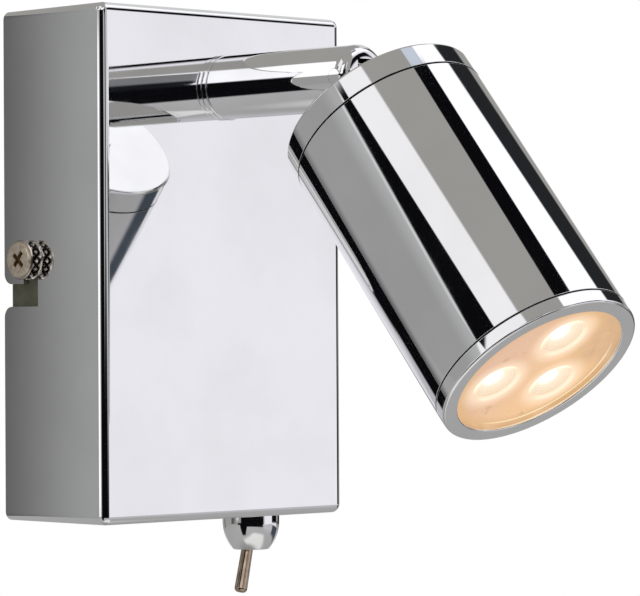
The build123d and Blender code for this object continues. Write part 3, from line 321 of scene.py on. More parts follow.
# Wall bracket and plated hardware: pressed and turned steel with a thin yellowish zinc coat.
# The bracket is screwed to the wall, and the nuts, washers and strap clamp the joints inside the lamp.
def finish(name, **values):
    """A material with plain values on its shader. Gives the material, the shader and Object coordinates."""
    material = bpy.data.materials.new(name)
    material.use_nodes = True
    shader = material.node_tree.nodes["Principled BSDF"]
    for socket, value in values.items():
        shader.inputs[socket.replace("_", " ")].default_value = value
    place = Wire(material.node_tree.nodes.new("ShaderNodeTexCoord").outputs["Object"])
    return material, shader, place


def grain(place, scale, detail=3.0):
    """Noise on a surface, with scale in grains to the metre."""
    sockets = {"Vector": place, "Scale": scale, "Detail": detail, "Roughness": 0.55}
    return place.node("ShaderNodeTexNoise", {}, sockets)


def dimple(height, depth, shader):
    """Small relief on a surface, with its depth in metres."""
    sockets = {"Height": height, "Strength": 1.0, "Distance": depth}
    height.node("ShaderNodeBump", {}, sockets).to(shader, "Normal")


def clouded(name, tones, scale, spread=(), gloss=(), relief=(), **values):
    """A finish that drifts between two tones. Spread is the part of the noise that counts, gloss is how far
    the roughness drifts and its least value, and relief is the grains to the metre and their depth."""
    material, shader, place = finish(name, **values)
    cloud = grain(place, scale)
    (cloud.rise(*spread) if spread else cloud).mix(*tones).to(shader, "Base Color")
    if gloss:
        (cloud * gloss[0] + gloss[1]).to(shader, "Roughness")
    if relief:
        dimple(grain(place, relief[0]), relief[1], shader)
    return material


def coat(material, *nodes):
    """Gives a finish to solids of the frame."""
    for node in nodes:
        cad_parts[node].data.materials.clear()
        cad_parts[node].data.materials.append(material)


ZINC_PALE = (0.25, 0.245, 0.18, 1.0)
ZINC_DULL = (0.20, 0.195, 0.14, 1.0)
zinc = clouded(
    "zinc_plate",
    (ZINC_DULL, ZINC_PALE),
    scale=260.0,
    spread=(0.35, 0.68),
    gloss=(0.18, 0.32),
    relief=(2400.0, 0.00002),
    Metallic=0.85,
)
coat(zinc, "wall_bracket", "swivel_stop_washer", "swivel_stop_stud", "arm_spring_washer", "arm_nut")
coat(zinc, "arm_nipple", "knuckle_washer", "knuckle_nut", "holder_strap", "holder_screws")
coat(zinc, "switch_lock_nut", "switch_lock_washer", "terminal_fixing_screws")


# Terminal block: a white polyamide moulding with brass inserts, held on the bracket by two screws.
# The same brass makes the earth connection, the switch's bushing and tags and the lamp's pins.
POLYAMIDE = (0.83, 0.83, 0.79, 1.0)
POLYAMIDE_SHADE = (0.76, 0.76, 0.71, 1.0)
polyamide = clouded(
    "white_polyamide",
    (POLYAMIDE_SHADE, POLYAMIDE),
    scale=120.0,
    gloss=(0.15, 0.38),
    relief=(5200.0, 0.000015),
)
coat(polyamide, "terminal_block", "lamp_base")

BRASS_BRIGHT = (0.72, 0.52, 0.20, 1.0)
BRASS_DULL = (0.52, 0.35, 0.12, 1.0)
brass = clouded(
    "brass",
    (BRASS_DULL, BRASS_BRIGHT),
    scale=420.0,
    spread=(0.3, 0.7),
    gloss=(0.2, 0.18),
    relief=(4200.0, 0.00001),
    Metallic=1.0,
)
coat(brass, "terminal_inserts", "terminal_screws", "earth_screw", "earth_washer")
coat(brass, "switch_terminals", "switch_bushing", "lamp_pins", "holder_contacts")


# Switch body: a black phenolic moulding inside the box, on the bushing that passes down through its bottom.
# It has the fine matt grain of a spark-eroded mould.
PHENOLIC = (0.022, 0.022, 0.024, 1.0)
PHENOLIC_WORN = (0.05, 0.05, 0.05, 1.0)
phenolic = clouded(
    "black_phenolic",
    (PHENOLIC, PHENOLIC_WORN),
    scale=340.0,
    spread=(0.5, 0.8),
    gloss=(0.2, 0.4),
    relief=(3800.0, 0.00003),
)
coat(phenolic, "switch_body")


# Wall box: steel sheet folded into five sides, open at the back, polished and chromed all over.
# A hook slot in each side drops over a thumbscrew, and the front and bottom are pierced for arm and switch.
MM = 0.001
BOX_WIDE = 88.4
BOX_DEEP = 42.0
BOX_TALL = 140.0
BOX_SHEET = 1.2
BOX_BEND = 2.4
ARM_LEVEL = 48.6
NIPPLE_HOLE = 5.1
SWITCH_PLACE = (28.0, -BOX_DEEP / 2, -BOX_TALL / 2)
SWITCH_HOLE = 4.9
PUNCH_HALF = 4.0
BEND_STEPS = 10
HOOK_STEPS = 8
# Hook slot's corners, as distance from the wall, height and rounding
HOOK_CORNERS = [
    (2.0, -22.0, 0.0),
    (0.02, -22.0, 0.0),
    (0.02, -11.3, 3.0),
    (-14.5, -11.3, 0.0),
    (-14.5, 4.5, 3.1),
    (-8.3, 4.5, 3.1),
    (-8.3, -5.1, 0.0),
    (0.02, -5.1, 3.0),
    (0.02, 8.0, 0.0),
    (2.0, 8.0, 0.0),
]
CHROME = (0.945, 0.945, 0.96, 1.0)
CHROME_HAZE = (0.89, 0.89, 0.90, 1.0)
# Smears and haze on the chrome: grains to the metre and their detail, the part of the noise that counts,
# and how far the roughness drifts and its least value
SMEAR_GRAIN = (70.0, 4.0)
SMEAR_SPREAD = (0.45, 0.75)
SMEAR_GLOSS = (0.02, 0.025)
HAZE_GRAIN = (28.0, 4.0)
HAZE_SPREAD = (0.35, 0.7)
# Points this close together, in metres, are one point
WELD = 1e-7


def soften(shape, points, corners, steps):
    """Rounds an outline's points, each by the last number of its corner, in millimetres."""
    for point, corner in zip(points, corners):
        if corner[2]:
            bmesh.ops.bevel(
                shape,
                geom=[point],
                offset=corner[2] * MM,
                segments=steps,
                profile=0.5,
                affect="VERTICES",
                material=-1,
            )


def bar(corners, half):
    """A bar along X with a side outline of (depth, height, rounding) corners, in millimetres."""
    shape = bmesh.new()
    points = [shape.verts.new(Vector((-half, depth, height)) * MM) for depth, height, rounding in corners]
    shape.faces.new(points)
    soften(shape, points, corners, HOOK_STEPS)
    end = bmesh.ops.extrude_face_region(shape, geom=shape.faces[:])["geom"]
    moved = [item for item in end if isinstance(item, bmesh.types.BMVert)]
    bmesh.ops.translate(shape, verts=moved, vec=Vector((2 * half * MM, 0, 0)))
    bmesh.ops.recalc_face_normals(shape, faces=shape.faces)
    return shape


def peg(place, along, radius, half):
    """A round cutter about a point, along an axis, in millimetres."""
    shape = bmesh.new()
    turn_to_axis = Vector((0, 0, 1)).rotation_difference(along).to_matrix().to_4x4()
    bmesh.ops.create_cone(
        shape,
        cap_ends=True,
        segments=64,
        radius1=radius * MM,
        radius2=radius * MM,
        depth=2 * half * MM,
        matrix=Matrix.Translation(Vector(place) * MM) @ turn_to_axis,
    )
    return shape


def piece_of(name, shape, material, body, nodes=(), cutters=(), sheet=0.0, crease=30.0):
    """Makes a piece of the lamp from a bmesh: cut, smooth between creases, riding on a body."""
    bmesh.ops.remove_doubles(shape, verts=shape.verts, dist=WELD)
    bmesh.ops.recalc_face_normals(shape, faces=shape.faces)
    mesh = bpy.data.meshes.new(name)
    shape.to_mesh(mesh)
    shape.free()
    piece = bpy.data.objects.new(name, mesh)
    bpy.context.scene.collection.objects.link(piece)
    tools = []
    if sheet:
        wall = piece.modifiers.new("sheet", "SOLIDIFY")
        wall.thickness = sheet
        wall.offset = -1.0
        wall.use_even_offset = True
    for cutter in cutters:
        tool_mesh = bpy.data.meshes.new("cutter")
        cutter.to_mesh(tool_mesh)
        cutter.free()
        tool = bpy.data.objects.new("cutter", tool_mesh)
        bpy.context.scene.collection.objects.link(tool)
        cut = piece.modifiers.new("cut", "BOOLEAN")
        cut.operation = "DIFFERENCE"
        cut.solver = "EXACT"
        cut.object = tool
        tools.append(tool)
    if piece.modifiers:
        bpy.context.view_layer.update()
        shown = piece.evaluated_get(bpy.context.evaluated_depsgraph_get())
        piece.data = bpy.data.meshes.new_from_object(shown)
        piece.modifiers.clear()
    for tool in tools:
        bpy.data.objects.remove(tool)
    piece.data.shade_smooth()
    piece.data.set_sharp_from_angle(angle=radians(crease))
    flats = piece.modifiers.new("flats", "WEIGHTED_NORMAL")
    flats.keep_sharp = True
    flats.weight = 60
    piece.data.materials.clear()
    piece.data.materials.append(material)
    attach(piece, body)
    if nodes:
        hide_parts(*nodes)
    return piece


chrome, chrome_shader, chrome_place = finish("polished_chrome", Metallic=1.0)
chrome_smear = grain(chrome_place, *SMEAR_GRAIN).rise(*SMEAR_SPREAD)
(chrome_smear * SMEAR_GLOSS[0] + SMEAR_GLOSS[1]).to(chrome_shader, "Roughness")
chrome_haze = grain(chrome_place, *HAZE_GRAIN).rise(*HAZE_SPREAD)
chrome_haze.mix(CHROME, CHROME_HAZE).to(chrome_shader, "Base Color")
coat(chrome, "tilt_pin", "head_knuckle")

box_shape = bmesh.new()
bmesh.ops.create_cube(
    box_shape,
    size=1.0,
    matrix=Matrix.Translation((0, -BOX_DEEP * MM / 2, 0))
    @ Matrix.Diagonal((BOX_WIDE * MM, BOX_DEEP * MM, BOX_TALL * MM, 1.0)),
)
bmesh.ops.delete(
    box_shape, geom=[face for face in box_shape.faces if face.normal.y > 0.5], context="FACES_ONLY"
)
bmesh.ops.bevel(
    box_shape,
    geom=[edge for edge in box_shape.edges if len(edge.link_faces) == 2],
    offset=BOX_BEND * MM,
    segments=BEND_STEPS,
    profile=0.5,
    affect="EDGES",
    material=-1,
)
piece_of(
    "chromed_box",
    box_shape,
    chrome,
    "base",
    ["cover_box"],
    [
        bar(HOOK_CORNERS, BOX_WIDE),
        peg((0, -BOX_DEEP, ARM_LEVEL), Vector((0, 1, 0)), NIPPLE_HOLE, PUNCH_HALF),
        peg(SWITCH_PLACE, Vector((0, 0, 1)), SWITCH_HOLE, PUNCH_HALF),
    ],
    BOX_SHEET * MM,
)


# Thumbscrews: nickelled brass, with a diamond knurl for the fingers and a crosshead cap.
# One at each side screws into the bracket's ear and clamps the hooked box.
SCREW_DEPTH = -11.4
SCREW_LEVEL = 1.4
SCREW_SEAT = BOX_WIDE / 2
SHANK_RADIUS = 3.0
SHANK_REACH = 9.0
KNURL_RADIUS = 5.5
KNURL_TOP = 3.7
KNURL_FIRST = 0.6
KNURL_STEP = 1.2
KNURL_ROWS = 2
KNURL_COLUMNS = 26
KNURL_RELIEF = 0.75
KNURL_BEVEL = 0.4
KNURL_LIP = 0.2
KNURL_INSET = 0.1
KNURL_NEAR = 0.05
CAP_RADIUS = 4.9
CAP_TOP = 4.6
CAP_UNDER = 0.15
CAP_ROUND = 0.6
CAP_STEPS = 96
CROSS_SPAN = 7.0
CROSS_WIDE = 1.8
CROSS_DEEP = 0.75
CROSS_TURN = 40.0
CROSS_FLOOR = 0.6
# Painted shade darkens the cross recess to brown up to a slope below the cap's top, and out to a slope from
# its axis
RECESS_BELOW = (0.5, 0.1)
RECESS_OUT = (4.1, 4.3)
NICKEL_WARM = (0.66, 0.57, 0.46, 1.0)
NICKEL_DULL = (0.46, 0.38, 0.29, 1.0)
NICKEL_GRAIN = 900.0
NICKEL_SPREAD = (0.3, 0.7)
NICKEL_GLOSS = (0.15, 0.22)
RECESS_SHADE = (0.10, 0.055, 0.02, 1.0)
KNURL_HOLLOW_SHADE = (0.012, 0.009, 0.008, 1.0)
KNURL_CREST_HIGHLIGHT = (0.78, 0.72, 0.66, 1.0)
# The knurl's painted highlight rises between these shares of its relief, and again this far below its outer
# end; its hollows get near-black painted shade
CREST_SHARES = (0.8, 0.3)
KNURL_RIM = (0.4, 0.3)
# Points that a spin leaves this close together, in metres, are one point on its axis
AXIS_MERGE = 3e-6
EDGE_STEPS = 6


def turned(foot, along, outline, steps=144, cuts=0):
    """A shape turned about an axis from (radius, distance, rounding) points, in millimetres."""
    shape = bmesh.new()
    side = along.orthogonal().normalized()
    centre = Vector(foot) * MM
    points = [shape.verts.new(centre + (side * out + along * far) * MM) for out, far, rounding in outline]
    edges = [shape.edges.new(pair) for pair in zip(points, points[1:])]
    if outline[0][0] > 0:
        shape.edges.new((points[-1], points[0]))
    if cuts:
        bmesh.ops.subdivide_edges(shape, edges=[edges[0]], cuts=cuts)
    soften(shape, points, outline, EDGE_STEPS)
    bmesh.ops.spin(
        shape,
        geom=shape.verts[:] + shape.edges[:],
        cent=centre,
        axis=along,
        angle=2 * pi,
        steps=steps,
        use_merge=True,
    )
    bmesh.ops.remove_doubles(shape, verts=shape.verts, dist=AXIS_MERGE)
    bmesh.ops.recalc_face_normals(shape, faces=shape.faces)
    return shape


def both_sides(shape):
    """Adds a mirror image on the other side of the box."""
    everything = shape.verts[:] + shape.edges[:] + shape.faces[:]
    bmesh.ops.mirror(shape, geom=everything, axis="X", merge_dist=-1.0)
    bmesh.ops.recalc_face_normals(shape, faces=shape.faces)
    return shape


def from_screw(place):
    """Distance of a surface point from the thumbscrews' axis, and from the middle of the box along it."""
    spot = {0: place, 1: (0, 1, 1), 2: (0, -SCREW_DEPTH * MM, -SCREW_LEVEL * MM)}
    across = place.node("ShaderNodeVectorMath", {"operation": "MULTIPLY_ADD"}, spot)
    out = place.node("ShaderNodeVectorMath", {"operation": "LENGTH"}, {0: across}, 1)
    return out, place.math("ABSOLUTE", place.parts()[0])


nickel, nickel_shader, nickel_place = finish("warm_nickel", Metallic=0.75)
nickel_cloud = grain(nickel_place, NICKEL_GRAIN)
nickel_tone = nickel_cloud.rise(*NICKEL_SPREAD).mix(NICKEL_DULL, NICKEL_WARM)
cap_out, cap_reach = from_screw(nickel_place)
recess_top = [(SCREW_SEAT + CAP_TOP - below) * MM for below in RECESS_BELOW]
recess_out = [out * MM for out in RECESS_OUT]
# Painted shade: the sunken faces of the cap's cross recess are coloured dark brown
recess_shade = (1.0 - cap_reach.rise(*recess_top)) * (1.0 - cap_out.rise(*recess_out))
recess_shade.mix(nickel_tone, RECESS_SHADE).to(nickel_shader, "Base Color")
(nickel_cloud * NICKEL_GLOSS[0] + NICKEL_GLOSS[1]).to(nickel_shader, "Roughness")

knurling, knurling_shader, knurling_place = finish("knurled_nickel", Metallic=1.0, Roughness=0.16)
knurl_out, knurl_reach = from_screw(knurling_place)
crest_slope = [(KNURL_RADIUS - share * KNURL_RELIEF) * MM for share in CREST_SHARES]
edge_slope = [(SCREW_SEAT + KNURL_TOP - below) * MM for below in KNURL_RIM]
crest_highlight = knurl_out.rise(*crest_slope)
rim_highlight = knurl_reach.rise(*edge_slope)
# Painted light and shade: the knurl's crests and outer rim are painted bright, and its hollows near black
knurl_painted_light = knurling_place.math("MAXIMUM", crest_highlight, rim_highlight)
knurl_painted_light.mix(KNURL_HOLLOW_SHADE, KNURL_CREST_HIGHLIGHT).to(knurling_shader, "Base Color")

screw_foot = (SCREW_SEAT, SCREW_DEPTH, SCREW_LEVEL)
outward = Vector((1, 0, 0))
knurl_outline = [(0, -SHANK_REACH, 0), (SHANK_RADIUS, -SHANK_REACH, 0), (SHANK_RADIUS, 0, 0)]
knurl_outline += [(KNURL_RADIUS - KNURL_BEVEL, 0, 0), (KNURL_RADIUS - KNURL_INSET, KNURL_LIP, 0)]
knurl_outline += [(KNURL_RADIUS, KNURL_FIRST + KNURL_STEP * row, 0) for row in range(KNURL_ROWS + 1)]
knurl_outline += [(KNURL_RADIUS - KNURL_INSET, KNURL_TOP - KNURL_LIP, 0)]
knurl_outline += [(KNURL_RADIUS - KNURL_BEVEL, KNURL_TOP, 0), (0, KNURL_TOP, 0)]
knurl_shape = turned(screw_foot, outward, knurl_outline, KNURL_COLUMNS)
hollows = []
screw_centre = Vector(screw_foot) * MM
for vert in knurl_shape.verts:
    reach = vert.co - screw_centre
    spoke = Vector((0, reach.y, reach.z))
    if spoke.length > (KNURL_RADIUS - KNURL_NEAR) * MM:
        row = round((reach.x / MM - KNURL_FIRST) / KNURL_STEP)
        column = round(atan2(reach.z, reach.y) / (2 * pi) * KNURL_COLUMNS)
        if (row + column) % 2:
            vert.co -= spoke.normalized() * KNURL_RELIEF * MM
            hollows.append(vert)
bmesh.ops.connect_verts(knurl_shape, verts=hollows)
piece_of(
    "thumbscrew_knurls", both_sides(knurl_shape), knurling, "base", ["thumbscrews"], crease=8.0
)
cap_outline = [(0, KNURL_TOP, 0), (CAP_RADIUS, KNURL_TOP, CAP_UNDER)]
cap_outline += [(CAP_RADIUS, CAP_TOP, CAP_ROUND), (0, CAP_TOP, 0)]
cross_bars = []
for quarter in (0, 90):
    cross_bar = bmesh.new()
    bmesh.ops.create_cube(
        cross_bar,
        size=1.0,
        matrix=Matrix.Translation(screw_centre + outward * CAP_TOP * MM)
        @ Matrix.Rotation(radians(CROSS_TURN + quarter), 4, "X")
        @ Matrix.Diagonal((2 * CROSS_DEEP * MM, CROSS_WIDE * MM, CROSS_SPAN * MM, 1.0)),
    )
    deep_corners = [vert for vert in cross_bar.verts if vert.co.x < screw_centre.x + CAP_TOP * MM]
    bmesh.ops.scale(
        cross_bar,
        vec=Vector((1, CROSS_FLOOR, CROSS_FLOOR)),
        verts=deep_corners,
        space=Matrix.Translation(-screw_centre),
    )
    cross_bars.append(both_sides(cross_bar))
cap_shape = both_sides(turned(screw_foot, outward, cap_outline, CAP_STEPS))
piece_of("thumbscrew_caps", cap_shape, nickel, "base", cutters=cross_bars)


# Arm: a straight chromed bar that turns on a nipple through the box, against a fixed collar.
# Its end is rounded over, and slotted to the front and below for the head's knuckle.
COLLAR_RADIUS = 8.95
COLLAR_WIDE = 1.9
ARM_RADIUS = 8.75
ARM_START = 44.0
ARM_END = 97.5
ARM_NOSE = 3.4
ARM_EDGE = 0.3
PIVOT_DEPTH = -94.0
SLOT_HALF = 4.8
SLOT_WIDE = 6.2
PIN_RADIUS = 2.05
PIN_HALF = 12.0
SLOT_CLEAR = 20.0
arm_foot = (0, 0, ARM_LEVEL)
pivot = (0, PIVOT_DEPTH, ARM_LEVEL)
forward = Vector((0, -1, 0))
piece_of(
    "collar_ring",
    turned(
        arm_foot,
        forward,
        [
            (NIPPLE_HOLE, BOX_DEEP, 0),
            (COLLAR_RADIUS, BOX_DEEP, ARM_EDGE),
            (COLLAR_RADIUS, BOX_DEEP + COLLAR_WIDE, ARM_EDGE),
            (NIPPLE_HOLE, BOX_DEEP + COLLAR_WIDE, 0),
        ],
    ),
    chrome,
    "base",
    ["arm_collar"],
)
piece_of(
    "arm_bar",
    turned(
        arm_foot,
        forward,
        [
            (0, ARM_START, 0),
            (ARM_RADIUS, ARM_START, ARM_EDGE),
            (ARM_RADIUS, ARM_END, ARM_NOSE),
            (0, ARM_END, 0),
        ],
    ),
    chrome,
    "arm",
    ["arm_tube"],
    [
        bar(
            [
                (PIVOT_DEPTH - SLOT_CLEAR, ARM_LEVEL - SLOT_CLEAR, 0),
                (PIVOT_DEPTH + SLOT_HALF, ARM_LEVEL - SLOT_CLEAR, 0),
                (PIVOT_DEPTH + SLOT_HALF, ARM_LEVEL + SLOT_HALF, SLOT_HALF),
                (PIVOT_DEPTH - SLOT_CLEAR, ARM_LEVEL + SLOT_HALF, 0),
            ],
            SLOT_WIDE / 2,
        ),
        peg(pivot, Vector((1, 0, 0)), PIN_RADIUS, PIN_HALF),
    ],
)


# Tilt washers: two thin vulcanised-fibre rings on the pin, one each side of the knuckle's tongue.
# They give the drag that holds the head where it is left.
FIBRE = (0.022, 0.020, 0.017, 1.0)
FIBRE_PALE = (0.05, 0.045, 0.04, 1.0)
fibre = clouded(
    "vulcanised_fibre", (FIBRE, FIBRE_PALE), scale=1500.0, relief=(6000.0, 0.00003), Roughness=0.75
)
coat(fibre, "tilt_washers")


# Head: a rear cap, a plain tube and a front bezel, turned in aluminium and chromed.
# The tube slides over the cap's spigot, with a shadow groove between them, and the bezel screws into the
# front of the tube, with a fine seam.
HEAD_TILT = radians(50.0)
HEAD_RADIUS = 27.45
GROOVE_RADIUS = 26.65
TUBE_BORE = 26.05
SPIGOT_RADIUS = 25.95
SPIGOT_BORE = 25.05
CAP_BACK = 13.2
CAP_FLOOR = 15.7
CAP_FRONT = 20.1
TUBE_START = 20.6
TUBE_END = 97.3
HEAD_FRONT = 101.2
LENS_FRONT = 99.9
APERTURE = 23.3
SEAM = 0.3
END_TAPER = 0.1
PLATED_EDGE = 0.1
SKIN = 0.02
CAP_SPIGOT = 5.6
BEZEL_SPIGOT = 5.0
REAR_ROUND = 0.8
SEAM_ROUND = 0.3
BEZEL_ROUND = 0.65
APERTURE_ROUND = 0.4
HEAD_STEPS = 192
GROOVE_SHADE = (0.010, 0.010, 0.011, 1.0)
GROOVE_SHADE_PALE = (0.022, 0.021, 0.020, 1.0)
# The painted shade takes in a part's end face by a hair, its spigot, and all of the tube
DARK_NEAR = 0.01
DARK_SPIGOT = 6.0
DARK_PAST = 1.0
pivot_point = Vector(pivot) * MM
head_way = Vector((0, -cos(HEAD_TILT), -sin(HEAD_TILT)))
# Painted shade: a near-black finish on the faces inside the head's skin, so that the groove and the seam
# show dark
groove_shade = clouded("groove_and_seam_shade", (GROOVE_SHADE, GROOVE_SHADE_PALE), scale=900.0, Roughness=0.7, Metallic=0.3)


def paint_groove_shade(piece, start, end):
    """Gives a turned piece near-black painted shade below its chromed skin, between two distances from the
    pivot.
    """
    piece.data.materials.append(groove_shade)
    for face in piece.data.polygons:
        reach = face.center - pivot_point
        along = reach.dot(head_way)
        out = (reach - head_way * along).length
        if start < along / MM < end and out < (HEAD_RADIUS - PLATED_EDGE - SKIN) * MM:
            face.material_index = 1


rear_outline = [
    (0, CAP_BACK, 0),
    (HEAD_RADIUS - END_TAPER, CAP_BACK, REAR_ROUND),
    (HEAD_RADIUS, CAP_FRONT, PLATED_EDGE),
    (GROOVE_RADIUS, CAP_FRONT, 0),
    (GROOVE_RADIUS, TUBE_START, 0),
    (SPIGOT_RADIUS, TUBE_START, 0),
    (SPIGOT_RADIUS, TUBE_START + CAP_SPIGOT, 0),
    (SPIGOT_BORE, TUBE_START + CAP_SPIGOT, 0),
    (SPIGOT_BORE, CAP_FLOOR, 0),
    (0, CAP_FLOOR, 0),
]
tube_outline = [
    (TUBE_BORE, TUBE_START, 0),
    (HEAD_RADIUS, TUBE_START, PLATED_EDGE),
    (HEAD_RADIUS, TUBE_END - SEAM, PLATED_EDGE),
    (TUBE_BORE, TUBE_END - SEAM, 0),
]
bezel_outline = [
    (SPIGOT_BORE, TUBE_END - BEZEL_SPIGOT, 0),
    (SPIGOT_RADIUS, TUBE_END - BEZEL_SPIGOT, 0),
    (SPIGOT_RADIUS, TUBE_END, 0),
    (HEAD_RADIUS, TUBE_END, SEAM_ROUND),
    (HEAD_RADIUS - END_TAPER, HEAD_FRONT, BEZEL_ROUND),
    (APERTURE, HEAD_FRONT, APERTURE_ROUND),
    (APERTURE, LENS_FRONT, 0),
    (SPIGOT_BORE, LENS_FRONT, 0),
]
# Each part's piece, node and outline, and where painted shade darkens it under its skin
for name, node, outline, dark_from, dark_to in (
    ("head_rear_cap", "rear_cap", rear_outline, CAP_FRONT - DARK_NEAR, TUBE_START + DARK_SPIGOT),
    ("head_barrel", "head_tube", tube_outline, TUBE_START - DARK_PAST, TUBE_END + DARK_PAST),
    ("head_bezel", "front_bezel", bezel_outline, TUBE_END - DARK_SPIGOT, TUBE_END + DARK_NEAR),
):
    part_shape = turned(pivot, head_way, outline, HEAD_STEPS)
    paint_groove_shade(piece_of(name, part_shape, chrome, "head", [node]), dark_from, dark_to)


# Lampholder: a glazed steatite block with two contact wells, on a strap clamped behind the lamp.
# Its glaze is smooth and a little cloudy.
STEATITE = (0.80, 0.77, 0.69, 1.0)
STEATITE_SHADE = (0.70, 0.66, 0.57, 1.0)
steatite = clouded(
    "steatite",
    (STEATITE_SHADE, STEATITE),
    scale=300.0,
    gloss=(0.2, 0.35),
    Coat_Weight=0.4,
    Coat_Roughness=0.15,
)
coat(steatite, "lampholder")


# Lamp body: a finned heat sink cast in aluminium and left bare, with a white board of emitters in its mouth.
# The emitters have yellow phosphor under a clear dome.
ALUMINIUM = (0.60, 0.61, 0.62, 1.0)
ALUMINIUM_DULL = (0.45, 0.46, 0.47, 1.0)
aluminium = clouded(
    "bare_aluminium",
    (ALUMINIUM_DULL, ALUMINIUM),
    scale=500.0,
    spread=(0.3, 0.7),
    gloss=(0.2, 0.3),
    relief=(2600.0, 0.00003),
    Metallic=1.0,
)
coat(aluminium, "lamp_heatsink")

BOARD_WHITE = (0.86, 0.86, 0.83, 1.0)
BOARD_CREAM = (0.78, 0.77, 0.72, 1.0)
board = clouded("solder_mask", (BOARD_CREAM, BOARD_WHITE), scale=800.0, Roughness=0.35)
coat(board, "led_board")

PHOSPHOR = (0.85, 0.62, 0.16, 1.0)
PHOSPHOR_PALE = (0.92, 0.76, 0.36, 1.0)
PHOSPHOR_GLOW = (1.0, 0.72, 0.42, 1.0)
phosphor = clouded(
    "phosphor",
    (PHOSPHOR, PHOSPHOR_PALE),
    scale=1800.0,
    Roughness=0.3,
    Emission_Color=PHOSPHOR_GLOW,
    Emission_Strength=3.0,
)
coat(phosphor, "led_emitters")


# Lens: one clear acrylic moulding with three dished collimators, lit from behind by warm emitters, whose
# light is painted on its face as a glow.
# It drops into the lamp's rim, and fine moulded rings, painted into the glow, soften the light; each dish's
# lower lip has a painted highlight.
LENS_RADIUS = 23.85
LENS_BACK = 97.2
OPTIC_CIRCLE = 11.7
OPTIC_MOUTH = 6.8
OPTIC_DISH = 2.3
OPTIC_TIP = 88.6
OPTIC_FOOT = 3.9
OPTIC_BASE = 7.6
OPTIC_STEPS = 64
OPTIC_TURNS = (90, 210, 330)
LENS_RINGS = 72
LENS_SKIN = 0.1
LENS_PINK = (0.72, 0.45, 0.31, 1.0)
LENS_AMBER = (0.86, 0.53, 0.26, 1.0)
LENS_RIM = (0.70, 0.42, 0.20, 1.0)
LENS_HAZE = (0.98, 0.74, 0.53, 1.0)
LENS_LINE = (1.0, 0.80, 0.48, 1.0)
DISH_WALL = (0.76, 0.57, 0.38, 1.0)
DISH_LIP_HIGHLIGHT = (1.0, 0.86, 0.64, 1.0)
DISH_GLOW = (1.0, 0.88, 0.70, 1.0)
DISH_CORE = (1.5, 1.45, 1.35, 1.0)
LENS_SMUDGE_AND_SHADE = (0.60, 0.37, 0.20, 1.0)
LENS_CLEAR = (0.06, 0.05, 0.04, 1.0)
# Where the glow's tones begin and end, in metres: across the lens, up or down it, and out from an axis
AMBER_ACROSS = (-0.018, 0.012)
RIM_OUT = (0.0185, 0.0225)
SHADE_ACROSS = (0.004, 0.013)
SHADE_UP = (-0.004, 0.008)
LINE_IN = (0.0213, 0.0216)
LINE_OUT = (0.0219, 0.0222)
LINE_DOWN = (0.008, 0.018)
LOWER_TURN = radians(-35)
HAZE_OUT = (0.005, 0.011)
LIP_IN = (0.0056, 0.0062)
LIP_OUT = (0.0064, 0.0072)
LIP_DOWN = (0.0, 0.005)
WALL_DOWN = (-0.004, 0.003)
DISH_OUT = (0.0052, 0.0066)
GLOW_OUT = (0.0015, 0.0066)
CORE_OUT = (0.0012, 0.0034)
RING_PITCH = 0.0007
# Noise in the glow: grains to the metre and their detail, the part of the noise that counts, and its share
SHADE_GRAIN = (300.0, 4.0)
SHADE_LEAST = 0.35
SHADE_SHARE = 0.9
SMUDGE_GRAIN = (170.0, 5.0)
SMUDGE_SPREAD = (0.62, 0.72)
SPECK_GRAIN = (2600.0, 1.0)
SPECK_SPREAD = (0.4, 0.7)
SPECK_SHARE = 0.3
SPECK_DEPTH = 0.00002
RING_SPREAD = (0.1, 0.9)
RING_SHARE = 0.2
head_side = Vector((1, 0, 0))
head_rise = head_way.cross(head_side)
optic_centres = []
for angle in OPTIC_TURNS:
    offset = head_side * cos(radians(angle)) + head_rise * sin(radians(angle))
    optic_centres.append(pivot_point + offset * OPTIC_CIRCLE * MM)


def from_axis(place, centre):
    """Offset of a surface point from a centre, and its distance from the axis through it, in metres."""
    offset = place.node("ShaderNodeVectorMath", {"operation": "SUBTRACT"}, {0: place, 1: centre})
    sockets = {0: offset, 1: head_way}
    crossed = place.node("ShaderNodeVectorMath", {"operation": "CROSS_PRODUCT"}, sockets)
    return offset, place.node("ShaderNodeVectorMath", {"operation": "LENGTH"}, {0: crossed}, 1)


lens, lens_shader, lens_place = finish(
    "lit_acrylic", Base_Color=LENS_CLEAR, Roughness=0.22, Emission_Strength=1.0, IOR=1.49
)
lens_offset, lens_edge = from_axis(lens_place, pivot_point)
lens_across = lens_place.parts()[0]
lens_lower = head_side * cos(LOWER_TURN) + head_rise * sin(LOWER_TURN)
lens_glow = lens_across.rise(*AMBER_ACROSS).mix(LENS_PINK, LENS_AMBER)
lens_glow = lens_edge.rise(*RIM_OUT).mix(lens_glow, LENS_RIM)
# Painted shade: a patch across and up the lens is dimmed towards the smudge colour
lens_shade = lens_across.rise(*SHADE_ACROSS) * lens_offset.along(head_rise).rise(*SHADE_UP) * SHADE_SHARE
lens_shade = lens_shade * (grain(lens_place, *SHADE_GRAIN) + SHADE_LEAST)
lens_glow = lens_shade.mix(lens_glow, LENS_SMUDGE_AND_SHADE)
lens_glow = grain(lens_place, *SMUDGE_GRAIN).rise(*SMUDGE_SPREAD).mix(lens_glow, LENS_SMUDGE_AND_SHADE)
lens_line = lens_edge.rise(*LINE_IN) * (1.0 - lens_edge.rise(*LINE_OUT))
lens_line = lens_line * lens_offset.along(lens_lower).rise(*LINE_DOWN)
lens_glow = lens_line.mix(lens_glow, LENS_LINE)
lens_speck = grain(lens_place, *SPECK_GRAIN)
lens_glow = (lens_speck.rise(*SPECK_SPREAD) * SPECK_SHARE).mix(lens_glow, LENS_SMUDGE_AND_SHADE)
